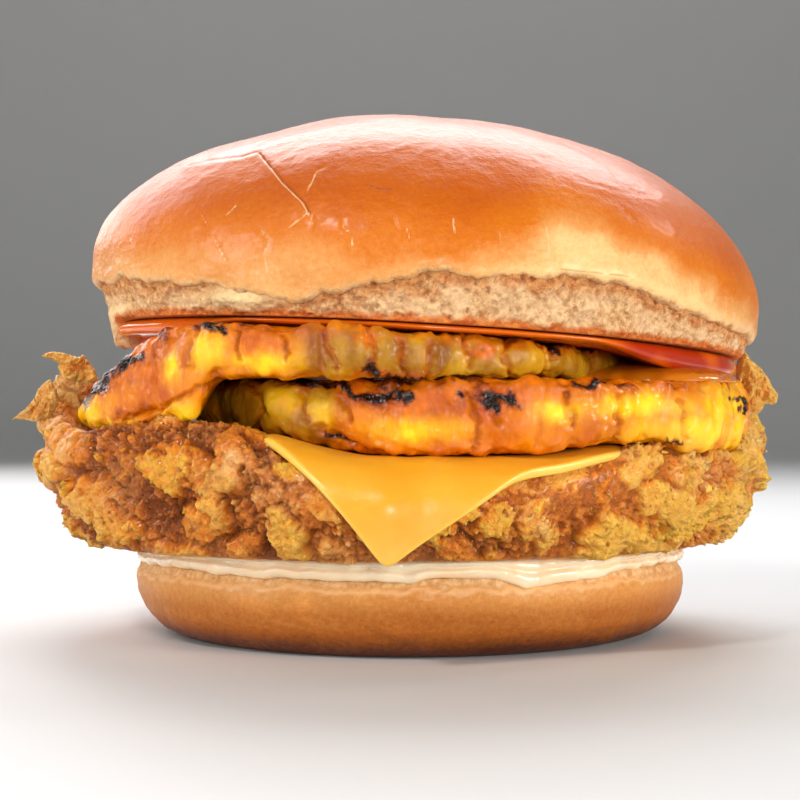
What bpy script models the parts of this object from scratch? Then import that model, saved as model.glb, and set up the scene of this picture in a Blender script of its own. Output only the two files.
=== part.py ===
"""Chicken burger: a breaded fillet with cheese, two grilled pineapple slices and two sauces in a soft bun.

The origin is the middle of the burger's footprint, on the surface that it rests on. +Z is up and -Y is the front,
the side where a corner of the cheese hangs down. Every length below is in millimetres, and an object's
mesh is scaled to metres when it is made. The layers are stacked from shared heights, each with a small
clearance to the one under it.
"""

import math
import random

import bmesh
import bpy
from mathutils import Matrix, Vector, noise
from mathutils.bvhtree import BVHTree

METRES = 0.001
CLEARANCE = 0.3

# The heel of the bun: flat foot, baked side, pale cut edge, cut face
HEEL_X = 1.6
HEEL_RADIUS = 45.3
HEEL_HEIGHT = 12.6
HEEL_FOOT_RADIUS = 37.0
HEEL_SKIN_HEIGHT = 10.6

# The cream sauce, spread on the cut face
CREAM_RADIUS = 44.0
CREAM_TOP = 14.8

# The breaded fillet, a shallow saddle whose left and right rims curl up past the fruit
FILLET_RADIUS_X = 59.6
FILLET_RADIUS_Y = 57.0
FILLET_BOTTOM = 15.1
FILLET_TOP = 28.2
FILLET_LEFT_RISE = 4.2
FILLET_RIGHT_SWELL = 1.6
FILLET_EDGE = 8.0
FILLET_TAPER = 0.05
FILLET_CALM = 0.86
FILLET_CRAG = 2.2
FILLET_CRAG_SIZE = 7.0
CHIP_ROOT = 3.0
CHIP_CORNERS = 7
# Each place where the rim curls up: middle and half width in degrees, then the lift
RIM_LIFTS = ((8, 36, 12.0), (176, 34, 7.0), (-135, 40, 1.6))

# The cheese slice, a square turned so that one corner hangs over the front
CHEESE_SIDE = 64.0
CHEESE_THICKNESS = 1.3
CHEESE_CLEARANCE = 0.5
CHEESE_TURN = math.radians(-7)
CHEESE_CORNER = (-2.2, -69.6)
CHEESE_CELLS = 15

# The two pineapple slices; the upper one's left side sags past the lower one
SLICE_RADIUS = 44.0
LOWER_SLICE_CENTRE = (11.6, -9.0)
UPPER_SLICE_CENTRE = (-7.4, -9.5)
SLICE_JOIN_HEIGHT = 41.6
UPPER_SLICE_THICKNESS = 9.0
SAG_UNDERSIDE = (-31.5, -39.0, 6.9)
SAG_TOP = (-34.0, -47.0, 9.2)
SLICE_LOBES = 11

# The crown of the bun, leaning down to the right and to the back, and the glaze under it
CROWN_X = 4.1
CROWN_RADIUS = 55.6
CROWN_HEIGHT = 36.6
CROWN_SHOULDER = 8.5
CROWN_CUT_RADIUS = 52.4
CROWN_SEAT = 48.1
CROWN_LEAN = 0.0577
CROWN_PITCH = 0.027
LIP_ANGLES = (-180, -134, -121, -110, -100, -90, -68, -57, -42, -17, 10, 60, 120, 180)
LIP_HEIGHTS = (6.0, 4.9, 3.9, 1.8, 5.0, 6.4, 7.9, 7.0, 4.6, 2.8, 4.0, 6.0, 6.5, 6.0)
GLAZE_RADIUS = 51.0
GLAZE_THICKNESS = 0.8
GLAZE_DRIP = 2.3

HEEL_SKIN = ("heel_crust", (0.62, 0.30, 0.10), 0.55)
CREAM_COLOUR = ("cream", (0.82, 0.66, 0.48), 0.25)
BREADING_COLOUR = ("breading", (0.66, 0.36, 0.13), 0.55)
CHEESE_COLOUR = ("cheese", (0.93, 0.55, 0.06), 0.3)
PINEAPPLE_COLOUR = ("pineapple", (0.90, 0.45, 0.03), 0.2)
GLAZE_COLOUR = ("glaze", (0.42, 0.06, 0.01), 0.12)
CROWN_SKIN = ("crown_crust", (0.74, 0.33, 0.09), 0.35)


def smooth(start, end, value):
    """0 before start, 1 after end, and a smooth step between them."""
    t = min(1.0, max(0.0, (value - start) / (end - start)))
    return t * t * (3 - 2 * t)


def waves(angle, *terms):
    """A sum of cosines round a circle, each term an amplitude, a count and a phase."""
    return sum(size * math.cos(count * angle + phase) for size, count, phase in terms)


def material(name, colour, roughness):
    made = bpy.data.materials.new(name)
    made.use_nodes = True
    shader = made.node_tree.nodes["Principled BSDF"]
    shader.inputs["Base Color"].default_value = (*colour, 1.0)
    shader.inputs["Roughness"].default_value = roughness
    shader.inputs["Metallic"].default_value = 0.0
    return made


def make_object(name, mesh_source, finish):
    """An object of this name from a bmesh in millimetres, shaded smooth."""
    bmesh.ops.recalc_face_normals(mesh_source, faces=mesh_source.faces)
    bmesh.ops.scale(mesh_source, vec=(METRES,) * 3, verts=mesh_source.verts)
    mesh = bpy.data.meshes.new(name)
    mesh_source.to_mesh(mesh)
    mesh_source.free()
    mesh.materials.append(material(*finish))
    mesh.shade_smooth()
    made = bpy.data.objects.new(name, mesh)
    bpy.context.scene.collection.objects.link(made)
    return made


def turned(profile, steps):
    """A closed bmesh spun round Z from points (radius, height) that start and end on the axis."""
    made = bmesh.new()
    points = [made.verts.new((radius, 0, height)) for radius, height in profile]
    edges = [made.edges.new(pair) for pair in zip(points, points[1:])]
    bmesh.ops.spin(
        made,
        geom=points + edges,
        axis=(0, 0, 1),
        cent=(0, 0, 0),
        steps=steps,
        angle=math.tau,
        use_merge=True,
    )
    bmesh.ops.remove_doubles(made, verts=made.verts, dist=1e-5)
    return made


def slab(bottom_rings, edge_points, edge_width, top_rings):
    """The profile of a layer in shares of its radius and thickness: bottom, round edge, top."""
    inner = 1.0 - edge_width
    bottom = [(inner * k / bottom_rings, 0.0) for k in range(bottom_rings)]
    top = [(inner * k / top_rings, 1.0) for k in reversed(range(top_rings))]
    edge = []
    for k in range(edge_points + 1):
        turn = math.pi * (k / edge_points - 0.5)
        edge.append((inner + edge_width * math.cos(turn) ** 0.7, 0.5 + 0.5 * math.sin(turn)))
    return bottom + edge + top


def lay(layer, outline, bottom, top, centre=(0.0, 0.0)):
    """Moves a turned slab so that its edge follows outline and its faces follow bottom and top."""
    for vertex in layer.verts:
        share = math.hypot(vertex.co.x, vertex.co.y)
        angle = math.atan2(vertex.co.y, vertex.co.x)
        radius = share * outline(angle)
        x = centre[0] + radius * math.cos(angle)
        y = centre[1] + radius * math.sin(angle)
        low, high = bottom(x, y), top(x, y)
        vertex.co = Vector((x, y, low + (high - low) * vertex.co.z))
    return layer


def fillet_top(x, y):
    """Height of the fillet's top: higher towards the left, with a swelling at the right."""
    swell = math.exp(-(((x - 31) / 10) ** 2))
    return FILLET_TOP + FILLET_LEFT_RISE * smooth(-3, -25, x) + FILLET_RIGHT_SWELL * swell


def slice_join(x):
    """Height where the pineapple slices meet, sagging on the left past the lower slice."""
    start, end, drop = SAG_UNDERSIDE
    return SLICE_JOIN_HEIGHT - drop * smooth(start, end, x)


def crown_seat(x, y):
    """Height of the crown's cut face, a plane that falls to the right and to the back."""
    return CROWN_SEAT - CROWN_LEAN * (x - CROWN_X) - CROWN_PITCH * y


def heel():
    """The bottom of the bun: a flat foot, a round baked side and a pale cut edge."""
    side_turns = 6
    side_height = HEEL_SKIN_HEIGHT - 2.0
    reach = HEEL_RADIUS - HEEL_FOOT_RADIUS
    side = []
    for k in range(side_turns + 1):
        turn = math.pi / 2 * k / side_turns
        side.append(
            (HEEL_FOOT_RADIUS + reach * math.sin(turn), side_height * (1 - math.cos(turn)))
        )
    profile = [
        (0.0, 0.0),
        (HEEL_FOOT_RADIUS / 2, 0.0),
        *side,
        (HEEL_RADIUS - 0.2, HEEL_SKIN_HEIGHT),
        (HEEL_RADIUS - 0.9, HEEL_SKIN_HEIGHT + 0.5),
        (HEEL_RADIUS - 1.2, HEEL_HEIGHT - 0.4),
        (HEEL_RADIUS - 2.2, HEEL_HEIGHT),
        (HEEL_RADIUS / 2, HEEL_HEIGHT),
        (0.0, HEEL_HEIGHT),
    ]
    made = turned(profile, 44)
    for vertex in made.verts:
        angle = math.atan2(vertex.co.y, vertex.co.x)
        radius = math.hypot(vertex.co.x, vertex.co.y)
        uneven = waves(angle, (0.5, 2, 0.4), (0.35, 3, 1.9), (0.2, 5, 0.8))
        scale = 1 + uneven / HEEL_RADIUS * smooth(HEEL_FOOT_RADIUS, HEEL_RADIUS, radius)
        vertex.co.x = HEEL_X + vertex.co.x * scale
        vertex.co.y *= scale
    return make_object("bun_heel", made, HEEL_SKIN)


def cream():
    """The cream sauce on the heel, squeezed out to an uneven rounded edge."""

    def outline(angle):
        return CREAM_RADIUS + waves(angle, (0.5, 3, 2.2), (0.5, 7, 0.3), (0.35, 12, 1.0))

    def bottom(x, y):
        return HEEL_HEIGHT + CLEARANCE

    def top(x, y):
        return CREAM_TOP

    made = lay(turned(slab(2, 4, 0.045, 2), 56), outline, bottom, top, (HEEL_X, 0.0))
    return make_object("cream_sauce", made, CREAM_COLOUR)


def fillet_outline(angle):
    """Radius of the fillet's core: an oval with uneven lobes."""
    oval = 1 / math.hypot(math.cos(angle) / FILLET_RADIUS_X, math.sin(angle) / FILLET_RADIUS_Y)
    return oval + waves(angle, (0.7, 3, 0.5), (0.5, 5, 2.1), (0.4, 8, 1.2))


def rim_lift(angle):
    """How far the fillet's rim curls up at this angle."""
    lift = 0.0
    for middle, half, height in RIM_LIFTS:
        off = abs(math.remainder(math.degrees(angle) - middle, 360))
        lift += height * (1 - smooth(0, half, off))
    return lift


def behind_cheese(angle):
    """1 where the hanging corner of the cheese lies on the fillet's side, 0 away from it."""
    off = abs(math.remainder(angle + math.radians(78), math.tau))
    return 1 - smooth(0.60, 0.78, off)


def fillet_core():
    """The fillet's body in millimetres: calm where layers press on it, craggy round its side."""
    made = turned(slab(3, 8, FILLET_EDGE / FILLET_RADIUS_Y, 9), 68)
    for vertex in made.verts:
        share = math.hypot(vertex.co.x, vertex.co.y)
        angle = math.atan2(vertex.co.y, vertex.co.x)
        level = vertex.co.z
        reach = share * fillet_outline(angle) * (1 - FILLET_TAPER * smooth(0.55, 0.0, level))
        x, y = reach * math.cos(angle), reach * math.sin(angle)
        height = fillet_top(x, y) - FILLET_BOTTOM + rim_lift(angle) * smooth(0.92, 1.0, share)
        exposed = smooth(FILLET_CALM, 0.96, share)
        place = Vector((x, y, FILLET_BOTTOM + height * level))
        away = Vector((math.cos(angle), math.sin(angle), 0.9 * (level - 0.5)))
        crag = noise.fractal(place / FILLET_CRAG_SIZE, 0.9, 2.0, 3)
        calm = 1 - 0.9 * behind_cheese(angle) * smooth(0.2, 0.5, level)
        vertex.co = place + away * FILLET_CRAG * crag * exposed * calm
    bmesh.ops.recalc_face_normals(made, faces=made.faces)
    return made


def chip(draw, length, width, thickness):
    """A flake of fried batter: an uneven plate that narrows outwards, and inwards to its root."""
    profile = [(0, -CHIP_ROOT), (0.25, -CHIP_ROOT), (0.5, 0), (0.3, thickness), (0, thickness)]
    made = turned(profile, CHIP_CORNERS)
    reach = [1 + draw.uniform(-0.24, 0.24) for _ in range(CHIP_CORNERS)]
    for vertex in made.verts:
        corner = round(CHIP_CORNERS * math.atan2(vertex.co.y, vertex.co.x) / math.tau)
        vertex.co.x *= length * reach[corner % CHIP_CORNERS]
        vertex.co.y *= width * reach[corner % CHIP_CORNERS]
        vertex.co.z += draw.uniform(-0.1, 0.1) * thickness
    bmesh.ops.recalc_face_normals(made, faces=made.faces)
    return made


# The chips seen in front and at the rims, as azimuth, height, facing, pitch and spin in degrees
# and millimetres, then length, width and how far each stands off the core
SHOWN_CHIPS = (
    (-109, 20.0, -112, 4, 25, 11.0, 6.6, 0.4),
    (-128, 26.0, -120, 12, 60, 9.0, 8.4, 0.4),
    (-114, 25.5, -118, 4, -10, 12.0, 6.8, 0.2),
    (-140, 20.5, -138, -14, 40, 9.5, 7.0, 0.2),
    (-152, 27.0, -135, 8, 10, 10.5, 7.4, 0.4),
    (-165, 23.0, -120, 0, -20, 10.0, 7.6, 1.0),
    (-176, 28.5, -105, 0, 15, 10.0, 7.5, 1.2),
    (178, 35.5, -92, 0, 55, 13.5, 6.4, 2.6),
    (172, 39.5, -85, 4, -40, 12.0, 8.0, 0.8),
    (-66, 19.5, -66, -8, 20, 10.0, 7.0, 0.2),
    (-52, 24.5, -56, 6, 70, 9.0, 6.6, 0.4),
    (-44, 21.0, -48, -6, -30, 9.5, 7.4, 0.3),
    (-31, 22.0, -45, 4, 30, 9.0, 7.6, 0.4),
    (-22, 27.0, -40, 0, 0, 9.5, 7.4, 0.6),
    (-8, 25.0, -55, 0, 20, 10.0, 8.0, 1.0),
    (3, 33.0, -65, 0, -25, 11.0, 8.4, 1.4),
    (10, 39.5, -60, 16, 60, 11.0, 8.4, 0.6),
)
RANDOM_CHIPS = 18


def place_chip(made, body, azimuth, level, facing, pitch, spin, stand_off):
    """Moves a chip to the core's side at this azimuth and height, turned to face outwards."""
    out = Vector((math.cos(azimuth), math.sin(azimuth), 0))
    hit = None
    while hit is None:
        hit = body.ray_cast(Vector((0, 0, level)) + out * 100, -out)[0]
        level -= 1
    turn = Matrix.Rotation(facing, 4, "Z") @ Matrix.Rotation(math.pi / 2 - pitch, 4, "Y")
    turn = turn @ Matrix.Rotation(spin, 4, "Z")
    bmesh.ops.transform(made, matrix=turn, verts=made.verts)
    bmesh.ops.translate(made, vec=hit + out * stand_off, verts=made.verts)


def drop_pockets(mesh):
    """Removes the closed pockets that chips leave against the core, keeping the outer surface."""
    body = bmesh.new()
    body.from_mesh(mesh)
    waiting = set(body.faces)
    shells = []
    while waiting:
        shell = {waiting.pop()}
        front = set(shell)
        while front:
            front = {face for near in front for edge in near.edges for face in edge.link_faces}
            front &= waiting
            waiting -= front
            shell |= front
        shells.append(shell)
    outer = max(shells, key=len)
    pockets = [face for face in body.faces if face not in outer]
    bmesh.ops.delete(body, geom=pockets, context="FACES")
    body.to_mesh(mesh)
    body.free()


def fillet():
    """The breaded fillet, its core and its chips joined into one solid."""
    core_mesh = fillet_core()
    body = BVHTree.FromBMesh(core_mesh)
    core = make_object("chicken_fillet", core_mesh, BREADING_COLOUR)
    pieces = bpy.data.collections.new("fillet_chips")
    bpy.context.scene.collection.children.link(pieces)
    draw = random.Random(8)
    places = list(SHOWN_CHIPS)
    for k in range(RANDOM_CHIPS):
        azimuth = 20 + 145 * (k + draw.uniform(0.2, 0.8)) / RANDOM_CHIPS
        level = draw.uniform(FILLET_BOTTOM + 4, FILLET_TOP - 1)
        facing = azimuth + draw.uniform(-14, 14)
        pitch = draw.uniform(-12, 14)
        size = draw.uniform(9.0, 13.0), draw.uniform(6.4, 8.4)
        places.append((azimuth, level, facing, pitch, draw.uniform(-90, 90), *size, 0.3))
    for azimuth, level, facing, pitch, spin, length, width, stand_off in places:
        made = chip(draw, length, width, draw.uniform(1.8, 2.6))
        turns = [math.radians(value) for value in (azimuth, facing, pitch, spin)]
        place_chip(made, body, turns[0], level, *turns[1:], stand_off)
        flake = make_object("chip", made, BREADING_COLOUR)
        bpy.context.scene.collection.objects.unlink(flake)
        pieces.objects.link(flake)
    join = core.modifiers.new("join", "BOOLEAN")
    join.operation = "UNION"
    join.operand_type = "COLLECTION"
    join.collection = pieces
    join.solver = "EXACT"
    graph = bpy.context.evaluated_depsgraph_get()
    joined = bpy.data.meshes.new_from_object(core.evaluated_get(graph))
    drop_pockets(joined)
    core.modifiers.clear()
    core.data = joined
    for flake in list(pieces.objects):
        bpy.data.objects.remove(flake)
    bpy.data.collections.remove(pieces)
    return core


def over_the_edge(reach, edge):
    """Where a sheet goes that lies flat up to the rounding of the fillet's edge, then hangs.

    Takes the length along the sheet from the middle and the outline's radius there. Gives the
    radius, the length at which the rounding starts, and the drop under the fillet's top.
    """
    start = edge - FILLET_EDGE
    past = max(0.0, reach - start)
    across = FILLET_EDGE + CHEESE_CLEARANCE + 0.6
    down = (FILLET_TOP - FILLET_BOTTOM) / 2
    quarter = math.pi / 2 * math.sqrt((across**2 + down**2) / 2)
    turn = min(1.0, past / quarter) * math.pi / 2
    hang = max(0.0, past - quarter)
    radius = min(reach, start) + across * math.sin(turn) ** 0.7
    return radius, min(reach, start), down * (1 - math.cos(turn)) + hang


def cheese():
    """The cheese slice, lying on the fillet with one corner hanging down its front."""
    made = bmesh.new()
    half = CHEESE_SIDE / 2
    bmesh.ops.create_grid(made, x_segments=CHEESE_CELLS, y_segments=CHEESE_CELLS, size=1.0)
    turn = Matrix.Rotation(math.pi / 4 + CHEESE_TURN, 3, "Z")
    shift = Vector((*CHEESE_CORNER, 0)) - turn @ Vector((-half, -half, 0))
    for vertex in made.verts:
        flat = Vector((2 * ((1 + k) / 2) ** 1.25 - 1 for k in vertex.co.xy)).to_3d() * half
        flat = turn @ flat + shift
        angle = math.atan2(flat.y, flat.x)
        radius, start, drop = over_the_edge(flat.length, fillet_outline(angle))
        out = Vector((math.cos(angle), math.sin(angle), 0))
        level = fillet_top(start * out.x, start * out.y) + CHEESE_CLEARANCE - drop
        vertex.co = out * radius + Vector((0, 0, level))
    sheet = make_object("cheese_slice", made, CHEESE_COLOUR)
    wall = sheet.modifiers.new("thickness", "SOLIDIFY")
    wall.thickness = CHEESE_THICKNESS * METRES
    wall.offset = 1.0
    return sheet


def slice_outline(phase):
    """The outline of a pineapple slice: a circle with a shallow lobe for each eye of the skin."""

    def outline(angle):
        lobe = 1.5 * abs(math.cos(SLICE_LOBES * angle / 2 + phase)) - 1.0
        return SLICE_RADIUS + lobe + waves(angle, (0.5, 2, phase), (0.5, 3, 2 * phase))

    return outline


def lower_slice():
    """The pineapple slice on the cheese."""

    def bottom(x, y):
        return fillet_top(x, y) + 2 * CHEESE_CLEARANCE + CHEESE_THICKNESS

    def top(x, y):
        return SLICE_JOIN_HEIGHT - CLEARANCE / 2

    made = turned(slab(7, 6, 0.09, 2), 54)
    lay(made, slice_outline(0.6), bottom, top, LOWER_SLICE_CENTRE)
    return make_object("pineapple_lower", made, PINEAPPLE_COLOUR)


def upper_slice():
    """The pineapple slice under the crown, its left side sagging past the lower slice."""
    sag_start, sag_end, sag = SAG_TOP

    def bottom(x, y):
        return slice_join(x) + CLEARANCE / 2

    def top(x, y):
        under_crown = crown_seat(x, y) - GLAZE_THICKNESS - 2 * CLEARANCE
        full = min(under_crown, SLICE_JOIN_HEIGHT + UPPER_SLICE_THICKNESS)
        return full - sag * smooth(sag_start, sag_end, x)

    made = turned(slab(8, 6, 0.09, 6), 56)
    lay(made, slice_outline(1.9), bottom, top, UPPER_SLICE_CENTRE)
    return make_object("pineapple_upper", made, PINEAPPLE_COLOUR)


def glaze():
    """The red glaze under the crown, thin over the fruit and hanging thick at the right."""

    def outline(angle):
        return GLAZE_RADIUS + waves(angle, (0.5, 4, 0.2), (0.4, 9, 1.1))

    def top(x, y):
        return crown_seat(x, y) - CLEARANCE

    def bottom(x, y):
        drip = GLAZE_DRIP * smooth(37.0, 46.0, x) * smooth(20.0, -5.0, y)
        return top(x, y) - GLAZE_THICKNESS - drip - 0.9 * smooth(-40.0, -46.0, x)

    made = lay(turned(slab(5, 4, 0.03, 1), 44), outline, bottom, top, (CROWN_X, 0.0))
    return make_object("red_glaze", made, GLAZE_COLOUR)


def lip_height(angle):
    """Height of the skin's lip over the cut face, straight between the listed angles."""
    degrees = math.degrees(angle)
    for k in range(len(LIP_ANGLES) - 1):
        if degrees <= LIP_ANGLES[k + 1]:
            break
    share = (degrees - LIP_ANGLES[k]) / (LIP_ANGLES[k + 1] - LIP_ANGLES[k])
    return LIP_HEIGHTS[k] + (LIP_HEIGHTS[k + 1] - LIP_HEIGHTS[k]) * share


def crown():
    """The top of the bun: a cut face, a torn pale band set back under the skin, and the dome."""
    dome_turns = 10
    rise = CROWN_HEIGHT - CROWN_SHOULDER
    dome = []
    for k in range(dome_turns):
        turn = math.pi / 2 * k / dome_turns
        dome.append((
            CROWN_RADIUS * math.cos(turn) ** 0.92,
            CROWN_SHOULDER + rise * math.sin(turn) ** 1.04,
        ))
    band = [
        (CROWN_CUT_RADIUS, 0.0),
        (CROWN_CUT_RADIUS + 0.6, 0.08),
        (CROWN_CUT_RADIUS + 0.6, 0.5),
        (CROWN_CUT_RADIUS + 1.0, 0.92),
        (CROWN_RADIUS - 0.9, 1.0),
    ]
    flat = [(0.0, 0.0), (CROWN_CUT_RADIUS * 0.55, 0.0)]
    profile = flat + band + [(radius, height + 2.0) for radius, height in dome]
    profile.append((0.0, CROWN_HEIGHT + 2.0))
    made = turned(profile, 56)
    for vertex in made.verts:
        angle = math.atan2(vertex.co.y, vertex.co.x)
        radius = math.hypot(vertex.co.x, vertex.co.y)
        if vertex.co.z <= 1.0:
            vertex.co.z *= lip_height(angle)
        else:
            vertex.co.z -= 2.0
        edge = smooth(0.5 * CROWN_RADIUS, CROWN_RADIUS, radius)
        scale = 1 + waves(angle, (0.5, 2, 2.6), (0.35, 3, 0.7)) / CROWN_RADIUS * edge
        x = vertex.co.x * scale + CROWN_X
        y = vertex.co.y * scale
        vertex.co = Vector((x, y, crown_seat(x, y) + vertex.co.z))
    return make_object("bun_crown", made, CROWN_SKIN)


def main():
    for left_over in list(bpy.data.objects):
        bpy.data.objects.remove(left_over)
    heel()
    cream()
    fillet()
    cheese()
    lower_slice()
    upper_slice()
    glaze()
    crown()


main()
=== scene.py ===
"""Looks of a chicken burger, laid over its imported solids.

Each layer of the stack is a closed surface on a grid of rows, from the middle of its underside out over its
edge to the middle of its top, and columns round the vertical axis. The heights that the layers share are
those of the solids. Lengths are in millimetres until a mesh is made, which is in metres. The front is -Y.
"""

import logging
import math
from dataclasses import dataclass
from enum import Enum

import bpy
import numpy as np
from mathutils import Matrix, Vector


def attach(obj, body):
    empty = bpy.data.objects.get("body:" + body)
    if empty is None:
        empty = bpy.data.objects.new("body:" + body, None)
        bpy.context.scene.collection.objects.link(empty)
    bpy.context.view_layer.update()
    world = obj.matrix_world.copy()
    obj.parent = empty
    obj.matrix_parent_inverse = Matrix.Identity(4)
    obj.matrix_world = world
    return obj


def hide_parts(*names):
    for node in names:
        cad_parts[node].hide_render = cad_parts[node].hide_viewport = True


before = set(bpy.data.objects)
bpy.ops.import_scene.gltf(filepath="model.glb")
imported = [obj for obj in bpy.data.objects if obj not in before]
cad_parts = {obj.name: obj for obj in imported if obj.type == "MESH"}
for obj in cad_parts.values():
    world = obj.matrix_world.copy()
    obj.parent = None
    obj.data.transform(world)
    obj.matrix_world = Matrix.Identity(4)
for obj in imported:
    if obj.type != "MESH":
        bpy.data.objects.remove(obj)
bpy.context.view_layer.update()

METRES = 0.001
TURN = 2 * np.pi
Array = np.ndarray
log = logging.getLogger("burger")


class Slot(Enum):
    """The record's material slots."""

    HEEL = "heel_crust"
    CREAM = "cream"
    BREADING = "breading"
    CHEESE = "cheese"
    PINEAPPLE = "pineapple"
    GLAZE = "glaze"
    CROWN = "crown_crust"


def smooth(start: float, end: float, value: Array) -> Array:
    """A smooth step: 0 up to start, 1 from end on, and 3t^2 - 2t^3 between them.

    Args:
        start: Value where the step leaves 0.
        end: Value where the step reaches 1; it may be under start.
        value: The values to step.

    Returns:
        The step, of the same shape as value.
    """
    t = np.clip((value - start) / (end - start), 0.0, 1.0)
    return t * t * (3.0 - 2.0 * t)


def hump(middle: float, half: float, value: Array) -> Array:
    """A bell: e to the minus square of the distance from middle, in halves."""
    return np.exp(-(((value - middle) / half) ** 2))


def waves(angle: Array, *terms: tuple[float, float, float]) -> Array:
    """A sum of cosines round a circle, each an amplitude, a count and a phase."""
    return sum(size * np.cos(count * angle + phase) for size, count, phase in terms)


@dataclass(frozen=True)
class Noise:
    """Seeded noise over space."""

    seed: int = 0

    def _mix(self, cell: Array) -> Array:
        """A whole number for each lattice cell: its three indices multiplied by primes, xored and mixed."""
        mixed = cell[..., 0] * 73856093 ^ cell[..., 1] * 19349663 ^ cell[..., 2] * 83492791
        mixed = (mixed ^ (self.seed * 2654435761)) & 0x7FFFFFFF
        mixed = ((mixed ^ (mixed >> 15)) * 739982445) & 0x7FFFFFFF
        mixed = ((mixed ^ (mixed >> 12)) * 695872825) & 0x7FFFFFFF
        return mixed ^ (mixed >> 15)

    def at(self, points: Array, size: float) -> Array:
        """Gradient noise, about -1 to 1.

        The eight corners of a point's cell each give the dot product of a random unit vector with the way
        from the corner to the point. They are blended by the step 6t^5 - 15t^4 + 10t^3.

        Args:
            points: Places, of shape (..., 3).
            size: Width of a lattice cell.

        Returns:
            The noise at each place.
        """
        arrows = np.random.default_rng(11).normal(size=(256, 3))
        arrows /= np.linalg.norm(arrows, axis=1, keepdims=True)
        scaled = points / size
        cell = np.floor(scaled).astype(np.int64)
        inside = scaled - cell
        fade = inside**3 * (inside * (inside * 6 - 15) + 10)
        total = np.zeros(points.shape[:-1])
        for corner in np.ndindex(2, 2, 2):
            step = np.array(corner)
            arrow = arrows[self._mix(cell + step) & 255]
            weight = np.prod(np.where(step == 1, fade, 1 - fade), axis=-1)
            total += weight * np.sum(arrow * (inside - step), axis=-1)
        return 1.6 * total

    def fractal(self, points: Array, size: float, octaves: int = 4, gain: float = 0.5) -> Array:
        """Octaves of noise added up, each at half the size and gain times the height of the last."""
        total = np.zeros(points.shape[:-1])
        for octave in range(octaves):
            total += gain**octave * self.at(points + 17.3 * octave, size / 2**octave)
        return total

    def ridges(self, points: Array, size: float, octaves: int = 3) -> Array:
        """Sharp ridges, 0 to 1: one less the noise's magnitude, squared, in octaves of falling height."""
        total, weight = np.zeros(points.shape[:-1]), 0.0
        for octave in range(octaves):
            total += 0.5**octave * (1 - np.abs(self.at(points + 9.1 * octave, size / 2**octave))) ** 2
            weight += 0.5**octave
        return total / weight

    def cells(self, points: Array, size: float) -> tuple[Array, Array, Array]:
        """Distances to the nearest and second nearest of points scattered one to a cell.

        Args:
            points: Places, of shape (..., 3).
            size: Width of a cell.

        Returns:
            The two distances in cell widths, and a random tone from 0 to 1 for each nearest point.
        """
        scaled = points / size
        cell = np.floor(scaled).astype(np.int64)
        near = np.full(points.shape[:-1], 9.0)
        second = np.full(points.shape[:-1], 9.0)
        tone = np.zeros(points.shape[:-1])
        for corner in np.ndindex(3, 3, 3):
            other = cell + np.array(corner) - 1
            mixed = self._mix(other)
            spot = np.stack([mixed & 1023, (mixed >> 10) & 1023, (mixed >> 20) & 1023], -1) / 1023
            away = np.linalg.norm(other + spot - scaled, axis=-1)
            closer = away < near
            second = np.where(closer, near, np.minimum(second, away))
            tone = np.where(closer, ((mixed >> 4) & 255) / 255, tone)
            near = np.where(closer, away, near)
        return near, second, tone


@dataclass(frozen=True)
class Sight:
    """Where the photograph's camera sees a place, so that marks land where it shows them."""

    distance: float = 320.0
    height: float = 38.5
    focal: float = 1889.0
    middle: float = 400.0
    hidden_past: float = 12.0
    nowhere: float = -900.0

    def of(self, points: Array) -> tuple[Array, Array]:
        """The place in the picture: its middle, and focal times the offset over the depth from there.

        Args:
            points: Places, of shape (..., 3).

        Returns:
            Pixels across and pixels down. What lies in the burger's back half is put far outside.
        """
        depth = self.distance + points[..., 1]
        across = self.middle + self.focal * points[..., 0] / depth
        down = self.middle - self.focal * (points[..., 2] - self.height) / depth
        behind = points[..., 1] > self.hidden_past
        return np.where(behind, self.nowhere, across), np.where(behind, self.nowhere, down)

    def back(self, across: Array, down: Array, depth: Array) -> Array:
        """Places that show at these pixels and lie this deep, in millimetres behind the burger's middle."""
        scale = (self.distance + depth) / self.focal
        x, z = (across - self.middle) * scale, self.height - (down - self.middle) * scale
        return np.stack([x, depth, z], -1)


SIGHT = Sight()


def spots(seen: tuple[Array, Array], *marks: tuple[float, float, float, float]) -> Array:
    """The largest of soft oval marks, each at a place in the picture with two half widths."""
    across, down = seen
    bells = [np.exp(-(((across - x) / w) ** 2) - ((down - y) / h) ** 2) for x, y, w, h in marks]
    return np.max(bells, axis=0)


def stroke(seen: tuple[Array, Array], *corners: tuple[float, float]) -> tuple[Array, Array]:
    """Measures from a line drawn through these places in the picture.

    Args:
        seen: Pixels across and down.
        corners: The line's corners, in pixels.

    Returns:
        The distance in pixels, and which side of the nearest stretch each place is on, -1 or 1.
    """
    here = np.stack(seen, -1)
    nearest, side = np.full(here.shape[:-1], 1e3), np.ones(here.shape[:-1])
    for start, end in zip(np.array(corners[:-1], float), np.array(corners[1:], float)):
        way, off = end - start, here - start
        share = np.clip((off @ way) / (way @ way), 0, 1)[..., None]
        away = np.linalg.norm(off - share * way, axis=-1)
        side = np.where(away < nearest, np.sign(off[..., 0] * way[1] - off[..., 1] * way[0]), side)
        nearest = np.minimum(nearest, away)
    return nearest, side


@dataclass(frozen=True)
class Mark:
    """A line drawn in the picture: its half width and its corners, in pixels."""

    half: float
    corners: tuple

    def on(self, seen: tuple[Array, Array]) -> Array:
        """1 on the line, fading by the square of the distance in half widths."""
        return np.exp(-((stroke(seen, *self.corners)[0] / self.half) ** 2))


def drawn(seen: tuple[Array, Array], marks: tuple[Mark, ...]) -> Array:
    """The strongest of these lines at each place."""
    return np.max([0 * seen[0]] + [mark.on(seen) for mark in marks], axis=0)


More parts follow.
